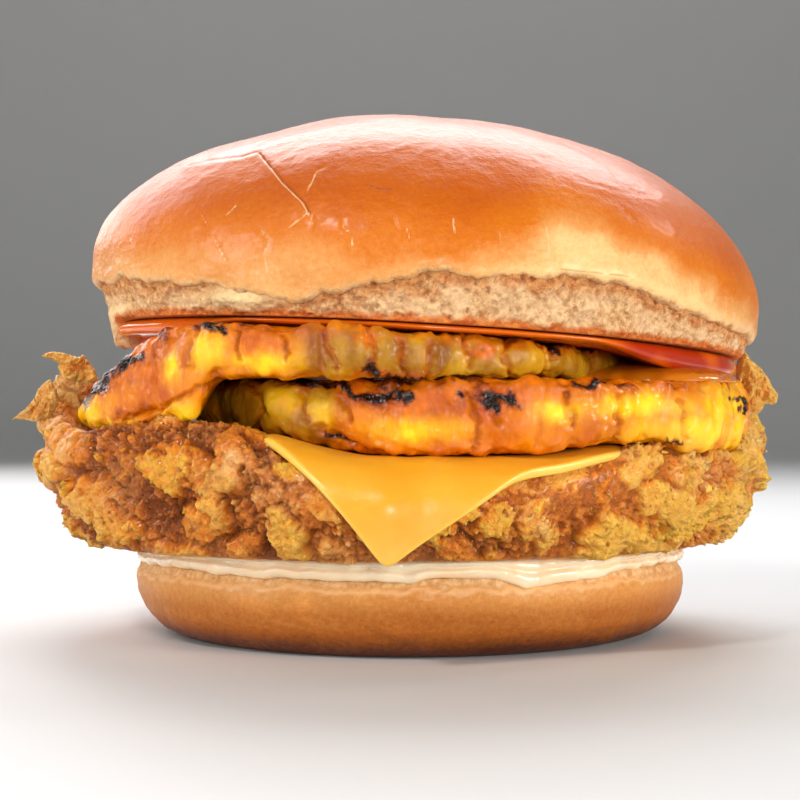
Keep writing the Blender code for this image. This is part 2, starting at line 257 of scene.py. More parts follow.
def beside(seen: tuple[Array, Array], *lines: tuple) -> Array:
    """How near the nearest of these lines is: 1 on it, and 0.1 less for each pixel away."""
    return 1 - np.min([stroke(seen, *line)[0] for line in lines], axis=0) / 10


@dataclass(frozen=True)
class Stack:
    """The heights and outlines that the layers share, as in the solids."""

    seat: float = 48.1
    seat_x: float = 4.1
    lean: float = 0.0577
    pitch: float = 0.027
    join: float = 41.6
    fillet_bottom: float = 15.1
    fillet_level: float = 28.2
    fillet_half_width: float = 59.6
    fillet_half_depth: float = 57.0

    def crown_seat(self, x: Array, y: Array) -> Array:
        """The cut face of the crown: a plane that falls to the right and to the back."""
        return self.seat - self.lean * (x - self.seat_x) - self.pitch * y

    def fillet_top(self, x: Array) -> Array:
        """The fillet's top: a step up to the left and a bell at the right."""
        return self.fillet_level + 4.2 * smooth(-3, -25, x) + 1.6 * hump(31, 10, x)

    def fillet_crags(self, x: Array, y: Array) -> Array:
        """What the breading adds to that top at the front, where it closes up to the fruit."""
        left = 2.2 * smooth(-16, -24, x) * smooth(-54, -46, x) * smooth(-18, -30, y)
        return left + 2.6 * smooth(29, 39, x) * smooth(-6, -20, y)

    def fillet_outline(self, angle: Array) -> Array:
        """The fillet's outline: an oval with waves on it."""
        oval = 1 / np.hypot(np.cos(angle) / self.fillet_half_width, np.sin(angle) / self.fillet_half_depth)
        return oval + waves(angle, (0.7, 3, 0.5), (0.5, 5, 2.1), (0.4, 8, 1.2))

    def rim_lift(self, angle: Array) -> Array:
        """How far the fillet's rim curls up: smooth humps round three angles."""
        lift = np.zeros_like(angle)
        for middle, half, height in ((8, 36, 14.0), (176, 34, 9.0), (-135, 44, 1.6), (-46, 28, 2.6)):
            off = np.abs((np.degrees(angle) - middle + 180) % 360 - 180)
            lift = lift + height * (1 - smooth(0, half, off))
        return lift


STACK = Stack()


def even_angles(columns: int, front: float) -> Array:
    """Angles round the axis, packed closer at the front: u less front times its cosine, for even u."""
    even = np.linspace(-np.pi, np.pi, columns, endpoint=False)
    return even - front * np.cos(even)


@dataclass
class Sheet:
    """A grid of rows and columns, closed round its columns and shut at its first and last rows."""

    share: Array
    level: Array
    angle: Array

    @classmethod
    def slab(
        cls, rows: tuple[int, int, int], columns: int, edge: float, power: float = 0.7, front: float = 0.0
    ) -> "Sheet":
        """A round slab: flat underside, rounded edge, flat top.

        The radius grows evenly to 1 less edge, goes out by edge times a cosine to a power while the level
        rises from 0 to 1 by a sine, and shrinks evenly again.

        Args:
            rows: Rows on the underside, the edge and the top.
            columns: Columns round the axis.
            edge: Width of the rounding as a share of the radius.
            power: Power of the cosine; a lower one is squarer.
            front: How much closer the columns stand at the front.

        Returns:
            The grid in shares of radius and thickness.
        """
        under, side, over = rows
        turn = np.linspace(-np.pi / 2, np.pi / 2, side)
        inner = 1 - edge
        radius = np.concatenate([
            np.linspace(0, inner, under, endpoint=False),
            inner + edge * np.clip(np.cos(turn), 0, 1) ** power,
            np.linspace(0, inner, over, endpoint=False)[::-1],
        ])
        level = np.concatenate([np.zeros(under), 0.5 + 0.5 * np.sin(turn), np.ones(over)])
        share, turns = np.meshgrid(radius, even_angles(columns, front), indexing="ij")
        return cls(share, np.repeat(level[:, None], columns, axis=1), turns)

    def out(self) -> Array:
        """The level unit vector away from the axis at each point."""
        return np.stack([np.cos(self.angle), np.sin(self.angle), np.zeros_like(self.angle)], -1)


def outward(points: Array) -> Array:
    """Unit normals of a grid: the cross product of its steps round and its steps up.

    Args:
        points: Places, of shape (rows, columns, 3).

    Returns:
        The normals, those of the end rows taken as the mean of their neighbours'.
    """
    around = np.roll(points, -1, axis=1) - np.roll(points, 1, axis=1)
    normal = np.cross(around, np.gradient(points, axis=0))
    normal[0], normal[-1] = normal[1].mean(0), normal[-2].mean(0)
    return normal / np.maximum(np.linalg.norm(normal, axis=-1, keepdims=True), 1e-9)


def add_mesh(
    name: str, points: Array, corners: Array, sizes: Array, marks: dict[str, Array]
) -> bpy.types.Object:
    """Makes an object from flat arrays.

    Args:
        name: The piece's name.
        points: Places in millimetres, of shape (count, 3).
        corners: The faces' point numbers, one after another.
        sizes: How many corners each face has.
        marks: Values for each point, by attribute name.

    Returns:
        The new object, in the scene.
    """
    mesh = bpy.data.meshes.new(name)
    mesh.vertices.add(len(points))
    mesh.vertices.foreach_set("co", (points * METRES).astype(np.float32).ravel())
    mesh.loops.add(len(corners))
    mesh.loops.foreach_set("vertex_index", corners.astype(np.int32))
    mesh.polygons.add(len(sizes))
    starts = np.concatenate([[0], np.cumsum(sizes)[:-1]])
    mesh.polygons.foreach_set("loop_start", starts.astype(np.int32))
    mesh.update(calc_edges=True)
    for mark, values in marks.items():
        layer = mesh.attributes.new(mark, "FLOAT", "POINT")
        layer.data.foreach_set("value", np.clip(values, 0, 1).astype(np.float32).ravel())
    mesh.shade_smooth()
    made = bpy.data.objects.new(name, mesh)
    bpy.context.scene.collection.objects.link(made)
    return made


def close_grid(points: Array, marks: dict[str, Array]) -> tuple[Array, Array, Array, dict[str, Array]]:
    """Turns a grid into flat arrays: four-cornered faces, and a fan to one point at each end.

    Args:
        points: Places, of shape (rows, columns, 3).
        marks: Values of shape (rows, columns), by name.

    Returns:
        Places, corners, face sizes and values as add_mesh takes them.
    """
    rows, columns = points.shape[:2]
    inner = (rows - 2) * columns
    here = np.arange(columns)
    there = (here + 1) % columns
    lines = 1 + columns * np.arange(rows - 3)[:, None]
    quads = np.stack([lines + here, lines + there, lines + columns + there, lines + columns + here], -1)
    first = np.stack([np.zeros(columns, int), 1 + there, 1 + here], -1)
    top = 1 + columns * (rows - 3)
    last = np.stack([np.full(columns, inner + 1), top + here, top + there], -1)
    corners = np.concatenate([quads.ravel(), first.ravel(), last.ravel()])
    sizes = np.concatenate([np.full(quads.size // 4, 4), np.full(2 * columns, 3)])

    def flat(values: Array) -> Array:
        """The grid's values with each end row as one value."""
        body = values[1:-1].reshape(inner, *values.shape[2:])
        return np.concatenate([values[:1, 0], body, values[-1:, 0]])

    return flat(points), corners, sizes, {name: flat(values) for name, values in marks.items()}


def join(name: str, flats: list) -> bpy.types.Object:
    """Makes one object of many closed grids.

    Args:
        name: The piece's name.
        flats: What close_grid gives for each of them.

    Returns:
        The new object, in the scene.
    """
    starts = np.cumsum([0] + [len(flat[0]) for flat in flats])
    return add_mesh(
        name,
        np.concatenate([flat[0] for flat in flats]),
        np.concatenate([flat[1] + start for flat, start in zip(flats, starts)]),
        np.concatenate([flat[2] for flat in flats]),
        {mark: np.concatenate([flat[3][mark] for flat in flats]) for mark in flats[0][3]},
    )


class Graph:
    """A material's node tree, with a Principled shader and short ways to add to it."""

    def __init__(self, name: str) -> None:
        """Starts a material of this name."""
        self.material = bpy.data.materials.new(name)
        self.material.use_nodes = True
        self.tree = self.material.node_tree
        self.shader = self.tree.nodes["Principled BSDF"]
        self.place = self.tree.nodes.new("ShaderNodeTexCoord").outputs["Object"]

    def add(self, kind: str, **settings: object) -> bpy.types.Node:
        """Adds a node of a kind with these settings."""
        node = self.tree.nodes.new(kind)
        for key, value in settings.items():
            setattr(node, key, value)
        return node

    def put(self, socket: bpy.types.NodeSocket, value: object) -> None:
        """Links a socket to another one, or sets its value."""
        if isinstance(value, bpy.types.NodeSocket):
            self.tree.links.new(value, socket)
        elif isinstance(value, tuple) and len(value) == 3 and socket.type == "RGBA":
            socket.default_value = (*value, 1.0)
        else:
            socket.default_value = value

    def set(self, **values: object) -> None:
        """Sets or links the shader's sockets, named with _ for each space."""
        for key, value in values.items():
            self.put(self.shader.inputs[key.replace("_", " ")], value)

    def mark(self, name: str) -> bpy.types.NodeSocket:
        """The value of a point attribute."""
        return self.add("ShaderNodeAttribute", attribute_name=name).outputs["Fac"]

    def noise(self, size: float, detail: float = 4, rough: float = 0.55, squash: tuple = (1, 1, 1)) -> object:
        """Noise of a size in millimetres, 0 to 1, over object space stretched along its axes."""
        mapping = self.add("ShaderNodeMapping")
        self.put(mapping.inputs["Vector"], self.place)
        mapping.inputs["Scale"].default_value = squash
        node = self.add("ShaderNodeTexNoise")
        self.put(node.inputs["Vector"], mapping.outputs["Vector"])
        node.inputs["Scale"].default_value = 1000 / size
        node.inputs["Detail"].default_value = detail
        node.inputs["Roughness"].default_value = rough
        return node.outputs["Fac"]

    def sum(self, first: object, second: object, how: str = "ADD") -> object:
        """Two values added, or put together another way that Math knows."""
        node = self.add("ShaderNodeMath", operation=how)
        self.put(node.inputs[0], first)
        self.put(node.inputs[1], second)
        return node.outputs[0]

    def span(
        self, value: object, low: float, high: float, to_low: float = 0.0, to_high: float = 1.0
    ) -> object:
        """A value mapped from one range to another, and held at its ends."""
        node = self.add("ShaderNodeMapRange")
        for socket, number in zip(node.inputs[1:5], (low, high, to_low, to_high)):
            socket.default_value = number
        self.put(node.inputs[0], value)
        return node.outputs[0]

    def ramp(self, value: object, *stops: tuple[float, tuple]) -> object:
        """A colour that goes through these stops."""
        node = self.add("ShaderNodeValToRGB")
        band = node.color_ramp.elements
        while len(band) < len(stops):
            band.new(0.5)
        for item, (where, colour) in zip(band, stops):
            item.position = where
            item.color = (*colour, 1.0)
        self.put(node.inputs[0], value)
        return node.outputs["Color"]

    def blend(self, share: object, first: object, second: object) -> object:
        """Two colours mixed by a share."""
        node = self.add("ShaderNodeMix", data_type="RGBA")
        self.put(node.inputs[0], share)
        self.put(node.inputs[6], first)
        self.put(node.inputs[7], second)
        return node.outputs[2]

    def bump(self, height: object, depth: float, under: object = None) -> object:
        """A normal bent by a height of 0 to 1 that stands for a depth in millimetres."""
        node = self.add("ShaderNodeBump")
        node.inputs["Distance"].default_value = depth * METRES
        self.put(node.inputs["Height"], height)
        if under is not None:
            self.put(node.inputs["Normal"], under)
        return node.outputs[0]

    def flesh(self, share: float, reach: float, tint: tuple[float, float, float]) -> None:
        """Light that goes in: its share, its reach in millimetres and its reach per colour."""
        self.set(Subsurface_Weight=share, Subsurface_Scale=reach * METRES)
        self.shader.inputs["Subsurface Radius"].default_value = tint


@dataclass(frozen=True)
class BunCrust:
    """Baked glossy skin, by marks for the bake, which on the heel also carries painted shade, and for crumb,
    light, cracks and scab, and for the crease across, near and lit, which place a painted highlight and
    painted shade along it."""

    name: str = "bun_crust"
    cream: tuple = (0.80, 0.50, 0.20)
    pale: tuple = (0.68, 0.29, 0.075)
    amber: tuple = (0.59, 0.148, 0.003)
    brown: tuple = (0.44, 0.070, 0.002)
    gloss: float = 0.34
    coat: float = 0.20
    rough_crumb: float = 0.7

    def line(self, graph: Graph, mark: str, half: float) -> bpy.types.NodeSocket:
        """A ragged line of this half width in pixels, where the mark is near 1."""
        ragged = graph.sum(graph.sum(graph.noise(1.2, 3, 0.6), -0.5), 0.22, "MULTIPLY")
        return graph.span(graph.sum(graph.mark(mark), ragged), 1 - half / 10, 1 - half / 30)

    def build(self) -> bpy.types.Material:
        """Goes from cream to brown as the bake grows, with light cracks, a painted highlight and painted
        shade along the crease, fine wrinkles and a soft coat.
        """
        graph = Graph(self.name)
        bake_and_shade, crumb = graph.mark("bake_and_shade"), graph.mark("crumb")
        cloudy = graph.sum(graph.sum(graph.noise(14, 5), -0.5), 0.30, "MULTIPLY")
        speckle = graph.sum(graph.sum(graph.noise(0.8, 3, 0.75), -0.5), 0.34, "MULTIPLY")
        tone = graph.sum(graph.sum(bake_and_shade, cloudy), speckle)
        skin = graph.ramp(tone, (0.05, self.cream), (0.28, self.pale), (0.55, self.amber), (0.90, self.brown))
        patch = graph.span(graph.noise(4, 2), 0.40, 0.56)
        cracks = graph.sum(graph.sum(self.line(graph, "cracks", 1.3), patch, "MULTIPLY"), 0.6, "MULTIPLY")
        # Painted highlight along the crease: a pale line on one side of it, where near and lit are high.
        across, near = graph.mark("across"), graph.mark("near")
        wander = graph.sum(graph.sum(graph.noise(1.4, 3, 0.6), -0.5), 0.12, "MULTIPLY")
        beyond = graph.sum(graph.sum(across, -0.42), wander)
        fold = graph.span(graph.sum(beyond, 0.0, "ABSOLUTE"), 0.065, 0.015)
        fold = graph.sum(graph.sum(fold, near, "MULTIPLY"), graph.mark("lit"), "MULTIPLY")
        light = graph.sum(cracks, graph.sum(fold, 0.60, "MULTIPLY"), "MAXIMUM")
        light = graph.sum(light, graph.mark("light"), "MAXIMUM")
        skin = graph.blend(light, skin, (0.92, 0.60, 0.30))
        # Painted shade along the crease: a dark line on its other side, joined with the scabs' own dark
        # lines.
        edge = graph.span(graph.sum(graph.sum(across, -0.54), 0.0, "ABSOLUTE"), 0.09, 0.0)
        crease_shade_and_scab = graph.sum(graph.sum(edge, near, "MULTIPLY"), self.line(graph, "scab", 1.5), "MAXIMUM")
        crease_shade_and_scab = graph.sum(crease_shade_and_scab, 0.65, "MULTIPLY")
        skin = graph.blend(crease_shade_and_scab, skin, (0.36, 0.055, 0.004))
        pore = graph.span(graph.noise(1.2, 5, 0.7), 0.36, 0.62)
        bread = graph.blend(pore, (0.56, 0.27, 0.085), (0.80, 0.51, 0.25))
        graph.set(Base_Color=graph.blend(crumb, skin, bread))
        dull = graph.sum(graph.sum(graph.noise(1.6, 3), 0.14, "MULTIPLY"), self.gloss)
        graph.set(Roughness=graph.sum(dull, graph.sum(crumb, 0.5, "MULTIPLY")), Specular_IOR_Level=0.20)
        graph.set(Coat_Weight=self.coat, Coat_Roughness=0.22)
        wrinkle = graph.bump(graph.noise(2.6, 6, 0.62, (1, 1, 2.0)), 0.20)
        fine = graph.bump(graph.noise(0.75, 3, 0.65), 0.13, wrinkle)
        edge = graph.bump(graph.sum(light, crease_shade_and_scab, "SUBTRACT"), 0.14, fine)
        pores = graph.sum(graph.noise(0.9, 4, 0.75), crumb, "MULTIPLY")
        graph.set(Normal=graph.bump(pores, self.rough_crumb, edge))
        graph.flesh(0.10, 2.0, (1.0, 0.40, 0.14))
        return graph.material


@dataclass(frozen=True)
class BreadCrumb:
    """Torn and cut bread, by the marks toast, scorch and cream."""

    name: str = "bread_crumb"

    def build(self) -> bpy.types.Material:
        """Pale crumb with dark pores, browner where it is toasted."""
        graph = Graph(self.name)
        pore = graph.span(graph.noise(1.1, 5, 0.75), 0.38, 0.60)
        bread = graph.blend(pore, (0.42, 0.165, 0.048), (0.76, 0.49, 0.24))
        patch = graph.span(graph.noise(6, 3), 0.40, 0.60)
        bread = graph.blend(graph.sum(patch, 0.45, "MULTIPLY"), bread, (0.86, 0.61, 0.34))
        scorched = graph.blend(pore, (0.36, 0.095, 0.016), (0.68, 0.30, 0.09))
        bread = graph.blend(graph.mark("scorch"), bread, scorched)
        bread = graph.blend(graph.mark("cream"), bread, (0.93, 0.68, 0.34))
        toasted = graph.blend(pore, (0.42, 0.07, 0.006), (0.66, 0.20, 0.03))
        bread = graph.blend(graph.mark("toast"), bread, toasted)
        graph.set(Base_Color=bread, Roughness=0.82, Specular_IOR_Level=0.3)
        graph.set(Normal=graph.bump(graph.noise(0.8, 4, 0.75), 0.45))
        graph.flesh(0.15, 1.5, (1.0, 0.55, 0.28))
        return graph.material


@dataclass(frozen=True)
class FriedCoating:
    """Fried breading, by marks for its tone, which also carries painted shade and painted light, and for
    blush and gold.
    """

    name: str = "fried_coating"

    def build(self) -> bpy.types.Material:
        """Dark red-brown where the tone is low, as painted shade in the hollows, tan sides and golden edges,
        with a grain of fine batter.
        """
        graph = Graph(self.name)
        grain = graph.sum(graph.sum(graph.noise(1.0, 5, 0.70), -0.5), 0.75, "MULTIPLY")
        tone = graph.sum(graph.mark("tone_and_shading"), grain)
        tan = graph.ramp(
            tone,
            (0.05, (0.27, 0.062, 0.006)),
            (0.34, (0.58, 0.150, 0.014)),
            (0.62, (0.84, 0.265, 0.030)),
            (0.95, (0.96, 0.46, 0.10)),
        )
        golden = graph.ramp(
            tone,
            (0.05, (0.42, 0.090, 0.005)),
            (0.45, (0.92, 0.265, 0.009)),
            (0.95, (1.0, 0.52, 0.06)),
        )
        floury = graph.ramp(
            tone,
            (0.05, (0.38, 0.112, 0.022)),
            (0.50, (0.78, 0.270, 0.055)),
            (0.95, (1.0, 0.56, 0.22)),
        )
        colour = graph.blend(graph.mark("gold"), tan, golden)
        graph.set(Base_Color=graph.blend(graph.mark("blush"), colour, floury))
        graph.set(Roughness=graph.span(graph.noise(2.4, 3), 0.35, 0.65, 0.30, 0.60), Specular_IOR_Level=0.2)
        graph.set(Coat_Weight=0.20, Coat_Roughness=0.10)
        creased = graph.sum(graph.sum(graph.noise(1.9, 5, 0.65), -0.5), 0.0, "ABSOLUTE")
        lumps = graph.bump(graph.span(creased, 0.16, 0.0), 0.40, graph.bump(graph.noise(1.6, 5, 0.62), 0.55))
        graph.set(Normal=graph.bump(graph.noise(0.5, 3, 0.6), 0.18, lumps))
        graph.flesh(0.30, 2.4, (1.0, 0.38, 0.12))
        return graph.material


@dataclass(frozen=True)
class MeltedCheese:
    """Smooth warm processed cheese."""

    name: str = "melted_cheese"

    def build(self) -> bpy.types.Material:
        """Nearly even orange yellow, lighter at the thin edge, with a soft gloss."""
        graph = Graph(self.name)
        mottle = graph.span(graph.noise(9, 3), 0.3, 0.7)
        base = graph.blend(mottle, (0.80, 0.335, 0.012), (0.84, 0.385, 0.022))
        base = graph.blend(graph.mark("rim"), base, (0.95, 0.56, 0.09))
        graph.set(Base_Color=base, Roughness=graph.span(graph.noise(2.5, 2), 0.3, 0.7, 0.30, 0.36))
        graph.set(Coat_Weight=0.15, Coat_Roughness=0.25)
        graph.set(Normal=graph.bump(graph.noise(1.4, 3), 0.03, graph.bump(graph.noise(8, 2), 0.25)))
        graph.flesh(0.35, 3.0, (1.0, 0.5, 0.12))
        return graph.material


@dataclass(frozen=True)
class GrilledPineapple:
    """Wet grilled fruit, by its marks for char, caramel and olive, and for yellow flesh with painted glints.
    """

    name: str = "grilled_pineapple"

    def build(self) -> bpy.types.Material:
        """Orange flesh that goes olive, yellow with painted glints, caramel or black, under a wet rippled
        coat.
        """
        graph = Graph(self.name)
        cloud = graph.span(graph.noise(5, 4, 0.5, (1, 1, 0.5)), 0.36, 0.64)
        flesh = graph.blend(cloud, (0.50, 0.085, 0.001), (0.76, 0.225, 0.001))
        olive = graph.blend(cloud, (0.24, 0.080, 0.002), (0.56, 0.29, 0.010))
        # The yellow of the flesh, also used for painted highlights where the wet surface glints.
        yellow_and_glint = graph.blend(cloud, (0.86, 0.40, 0.003), (0.95, 0.66, 0.010))
        base = graph.blend(graph.mark("olive"), flesh, olive)
        base = graph.blend(graph.mark("yellow_and_glint"), base, yellow_and_glint)
        fleck = graph.span(graph.noise(2.2, 4), 0.3, 0.7)
        burnt = graph.blend(fleck, (0.26, 0.036, 0.001), (0.70, 0.165, 0.001))
        base = graph.blend(graph.mark("caramel"), base, burnt)
        frayed = graph.sum(graph.sum(graph.noise(2.0, 8, 0.78), -0.5), 2.3, "MULTIPLY")
        frayed = graph.sum(frayed, graph.span(graph.mark("char"), 0.02, 0.25), "MULTIPLY")
        black = graph.span(graph.sum(graph.mark("char"), frayed), 0.42, 0.80)
        scorched = graph.span(graph.sum(graph.mark("char"), frayed), 0.05, 0.50)
        base = graph.blend(graph.sum(scorched, 0.88, "MULTIPLY"), base, (0.15, 0.018, 0.001))
        graph.set(Base_Color=graph.blend(black, base, (0.010, 0.005, 0.003)), Roughness=0.30)
        graph.set(Specular_IOR_Level=0.0, Coat_Weight=0.70, Coat_Roughness=0.04)
        fibre = graph.bump(graph.noise(1.6, 3, 0.55, (1, 1, 0.35)), 0.25)
        graph.set(Normal=fibre)
        ripple = graph.bump(graph.noise(2.6, 2, 0.5), 0.45)
        graph.set(Coat_Normal=graph.bump(graph.noise(0.8, 2, 0.5), 0.42, ripple))
        graph.flesh(0.30, 3.0, (1.0, 0.42, 0.04))
        return graph.material


@dataclass(frozen=True)
class CreamSauce:
    """Beige cream sauce, by the mark thick."""

    name: str = "cream_gloss"

    def build(self) -> bpy.types.Material:
        """A warm beige with a wet gloss, paler where it is thick."""
        graph = Graph(self.name)
        warm = graph.span(graph.noise(7, 3), 0.3, 0.7)
        base = graph.blend(warm, (0.93, 0.68, 0.42), (0.96, 0.77, 0.52))
        base = graph.blend(graph.mark("thick"), base, (0.97, 0.81, 0.57))
        graph.set(Base_Color=base, Roughness=0.25, Coat_Weight=0.7, Coat_Roughness=0.10)
        graph.set(Normal=graph.bump(graph.noise(2.4, 3), 0.25))
        graph.flesh(0.35, 2.5, (1.0, 0.6, 0.35))
        return graph.material


@dataclass(frozen=True)
class StickySauce:
    """Clear sticky sauce in two tones, by the marks thick and wet."""

    name: str
    thin: tuple
    thick: tuple

    def build(self) -> bpy.types.Material:
        """Goes from the thin tone to the thick one, under a smooth bright coat."""
        graph = Graph(self.name)
        cloud = graph.span(graph.noise(9, 0), 0.25, 0.50)
        base = graph.blend(graph.sum(cloud, graph.mark("thick"), "MULTIPLY"), self.thin, self.thick)
        wet = graph.mark("wet")
        graph.set(Base_Color=base, Roughness=graph.span(wet, 0, 1, 0.8, 0.22), Specular_IOR_Level=0.1)
        graph.set(Coat_Weight=graph.sum(wet, 0.8, "MULTIPLY"), Coat_Roughness=0.08)
        graph.set(Normal=graph.bump(graph.noise(8.0, 0), 0.25))
        graph.flesh(0.25, 1.6, (1.0, 0.18, 0.05))
        return graph.material


@dataclass
class Piece:
    """What every piece has: a name, the solid it stands for, its slot and its finish."""

    name: str
    node: str
    slot: Slot
    finish: object

    def form(self) -> tuple[Array, dict[str, Array]]:
        """The piece's grid of places and its marks."""
        raise NotImplementedError

    def build(self) -> bpy.types.Object:
        """Builds the piece from its grid.

        Returns:
            The finished object, dressed and tied to the frame.
        """
        points, marks = self.form()
        return self.dress(add_mesh(self.name, *close_grid(points, marks)))

    def dress(self, made: bpy.types.Object) -> bpy.types.Object:
        """Gives a piece its finish, its body and its solid, and reports it."""
        made.data.materials.append(self.finish.build())
        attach(made, "root")
        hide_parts(self.node)
        log.info("%s: %d faces", self.name, len(made.data.polygons))
        return made


@dataclass
class Heel(Piece):
    """The bottom of the bun."""

    centre: float = 1.6
    radius: float = 45.1
    foot: float = 36.6
    height: float = 12.6
    skin_height: float = 11.0
    side_height: float = 9.3
    columns: int = 620

    def form(self) -> tuple[Array, dict[str, Array]]:
        """A foot, a quarter ellipse of baked side, and a pale cut edge that rounds into the cut face."""
        turn = np.linspace(0, np.pi / 2, 70)
        edge = np.array([0.0, 0.02, 0.06, 0.12, 0.3, 0.5, 0.6, 0.7, 0.85, 1.1, 1.7, 2.7])
        climb = np.array([0.2, 0.4, 0.7, 1.0, 1.3, 1.6, 1.9, 2.2, 2.6, 3.0, 3.2, 3.3])
        radius = np.concatenate([
            np.linspace(0, self.foot, 14, endpoint=False),
            self.foot + (self.radius - self.foot) * np.sin(turn),
            self.radius - edge,
            np.linspace(0, self.radius - 4, 12)[::-1],
        ])
        height = np.concatenate([
            np.zeros(14),
            self.side_height * (1 - np.cos(turn)),
            self.side_height + climb,
            np.full(12, self.height),
        ])
        r, angle = np.meshgrid(radius, even_angles(self.columns, 0), indexing="ij")
        z = np.repeat(height[:, None], self.columns, axis=1)
        uneven = waves(angle, (0.4, 2, 0.4), (0.3, 3, 1.9), (0.2, 5, 0.8))
        r = r + uneven * smooth(self.foot, self.radius, r)
        points = np.stack([self.centre + r * np.cos(angle), r * np.sin(angle), z], -1)
        normal = outward(points)
        shown = smooth(0.2, 1.6, z)
        rise = 0.30 * Noise(3).fractal(points, 9, 3) + 0.09 * Noise(4).fractal(points, 1.8, 3)
        ragged = 0.6 * Noise(5).fractal(points, 3, 3)
        crumb = smooth(self.skin_height - 0.2, self.skin_height + 0.4, z + ragged)
        rise = rise + crumb * 0.10 * Noise(6).fractal(points, 1.4, 3)
        points = points + normal * (shown * rise)[..., None]
        # Painted shade: the side darkens towards the bottom, partly for the bake there and partly for the
        # shade that falls under the bun.
        bake_and_shade = 0.22 + 0.26 * smooth(10.0, 6.0, z) + 0.42 * smooth(5.5, 0.5, z)
        light = 0.5 * smooth(0.6, 0.1, np.abs(z + ragged - self.skin_height + 0.5))
        return points, {"bake_and_shade": bake_and_shade, "crumb": crumb, "light": light}


@dataclass(frozen=True)
class CrownShape:
    """The crown's sizes, which its skin and its crumb share."""

    centre: float = 4.1
    radius: float = 55.6
    height: float = 36.6
    shoulder: float = 8.5
    cut: float = 52.4
    lip_angles: tuple = (-180, -134, -121, -110, -100, -90, -68, -57, -42, -17, 10, 60, 120, 180)
    lip_heights: tuple = (6.0, 4.9, 3.9, 1.8, 5.0, 6.4, 7.9, 7.0, 4.6, 2.8, 4.0, 6.0, 6.5, 6.0)
    bake_angles: tuple = (-168, -145, -134, -121, -109, -100, -84, -76, -70, -63, -56, -48, -37, -20, 60, 130)
    bake_heights: tuple = (11.0, 9.5, 8.4, 9.0, 9.2, 7.7, 8.6, 12.0, 15.5, 14.7, 12.5, 10.4, 7.6, 6.5, 12, 13)

    def lip(self, angle: Array) -> Array:
        """Height of the skin's torn lip: straight between the listed angles, with ragged noise on it."""
        ring = np.stack([53 * np.cos(angle), 53 * np.sin(angle), 0 * angle], -1)
        level = np.interp(np.degrees(angle), self.lip_angles, self.lip_heights, period=360)
        return np.clip(level + 0.8 * Noise(21).fractal(ring, 8, 4, 0.65), 1.0, 8.4)

    def side(self, height: Array) -> Array:
        """Radius of the skin under the shoulder: it falls by the square of the way down."""
        return self.radius * (1 - 0.055 * ((self.shoulder - height) / self.shoulder) ** 2)

    def lay(self, radius: Array, height: Array, angle: Array) -> Array:
        """Places of points at these radii and heights over the leaning cut face.

        The left side is 1.5 lower near the top and 1 wider above the shoulder than the right.
        """
        left = smooth(0.1, 0.9, -np.cos(angle))
        height = height - 1.5 * left * hump(33, 13, radius) * smooth(self.shoulder, self.shoulder + 6, height)
        radius = radius + 1.0 * left * hump(self.shoulder + 8, 7, height) * smooth(10, 40, radius)
        edge = smooth(0.5 * self.radius, self.radius, radius)
        radius = radius + waves(angle, (0.5, 2, 2.6), (0.35, 3, 0.7)) * edge
        x, y = self.centre + radius * np.cos(angle), radius * np.sin(angle)
        return np.stack([x, y, STACK.crown_seat(x, y) + height], -1)


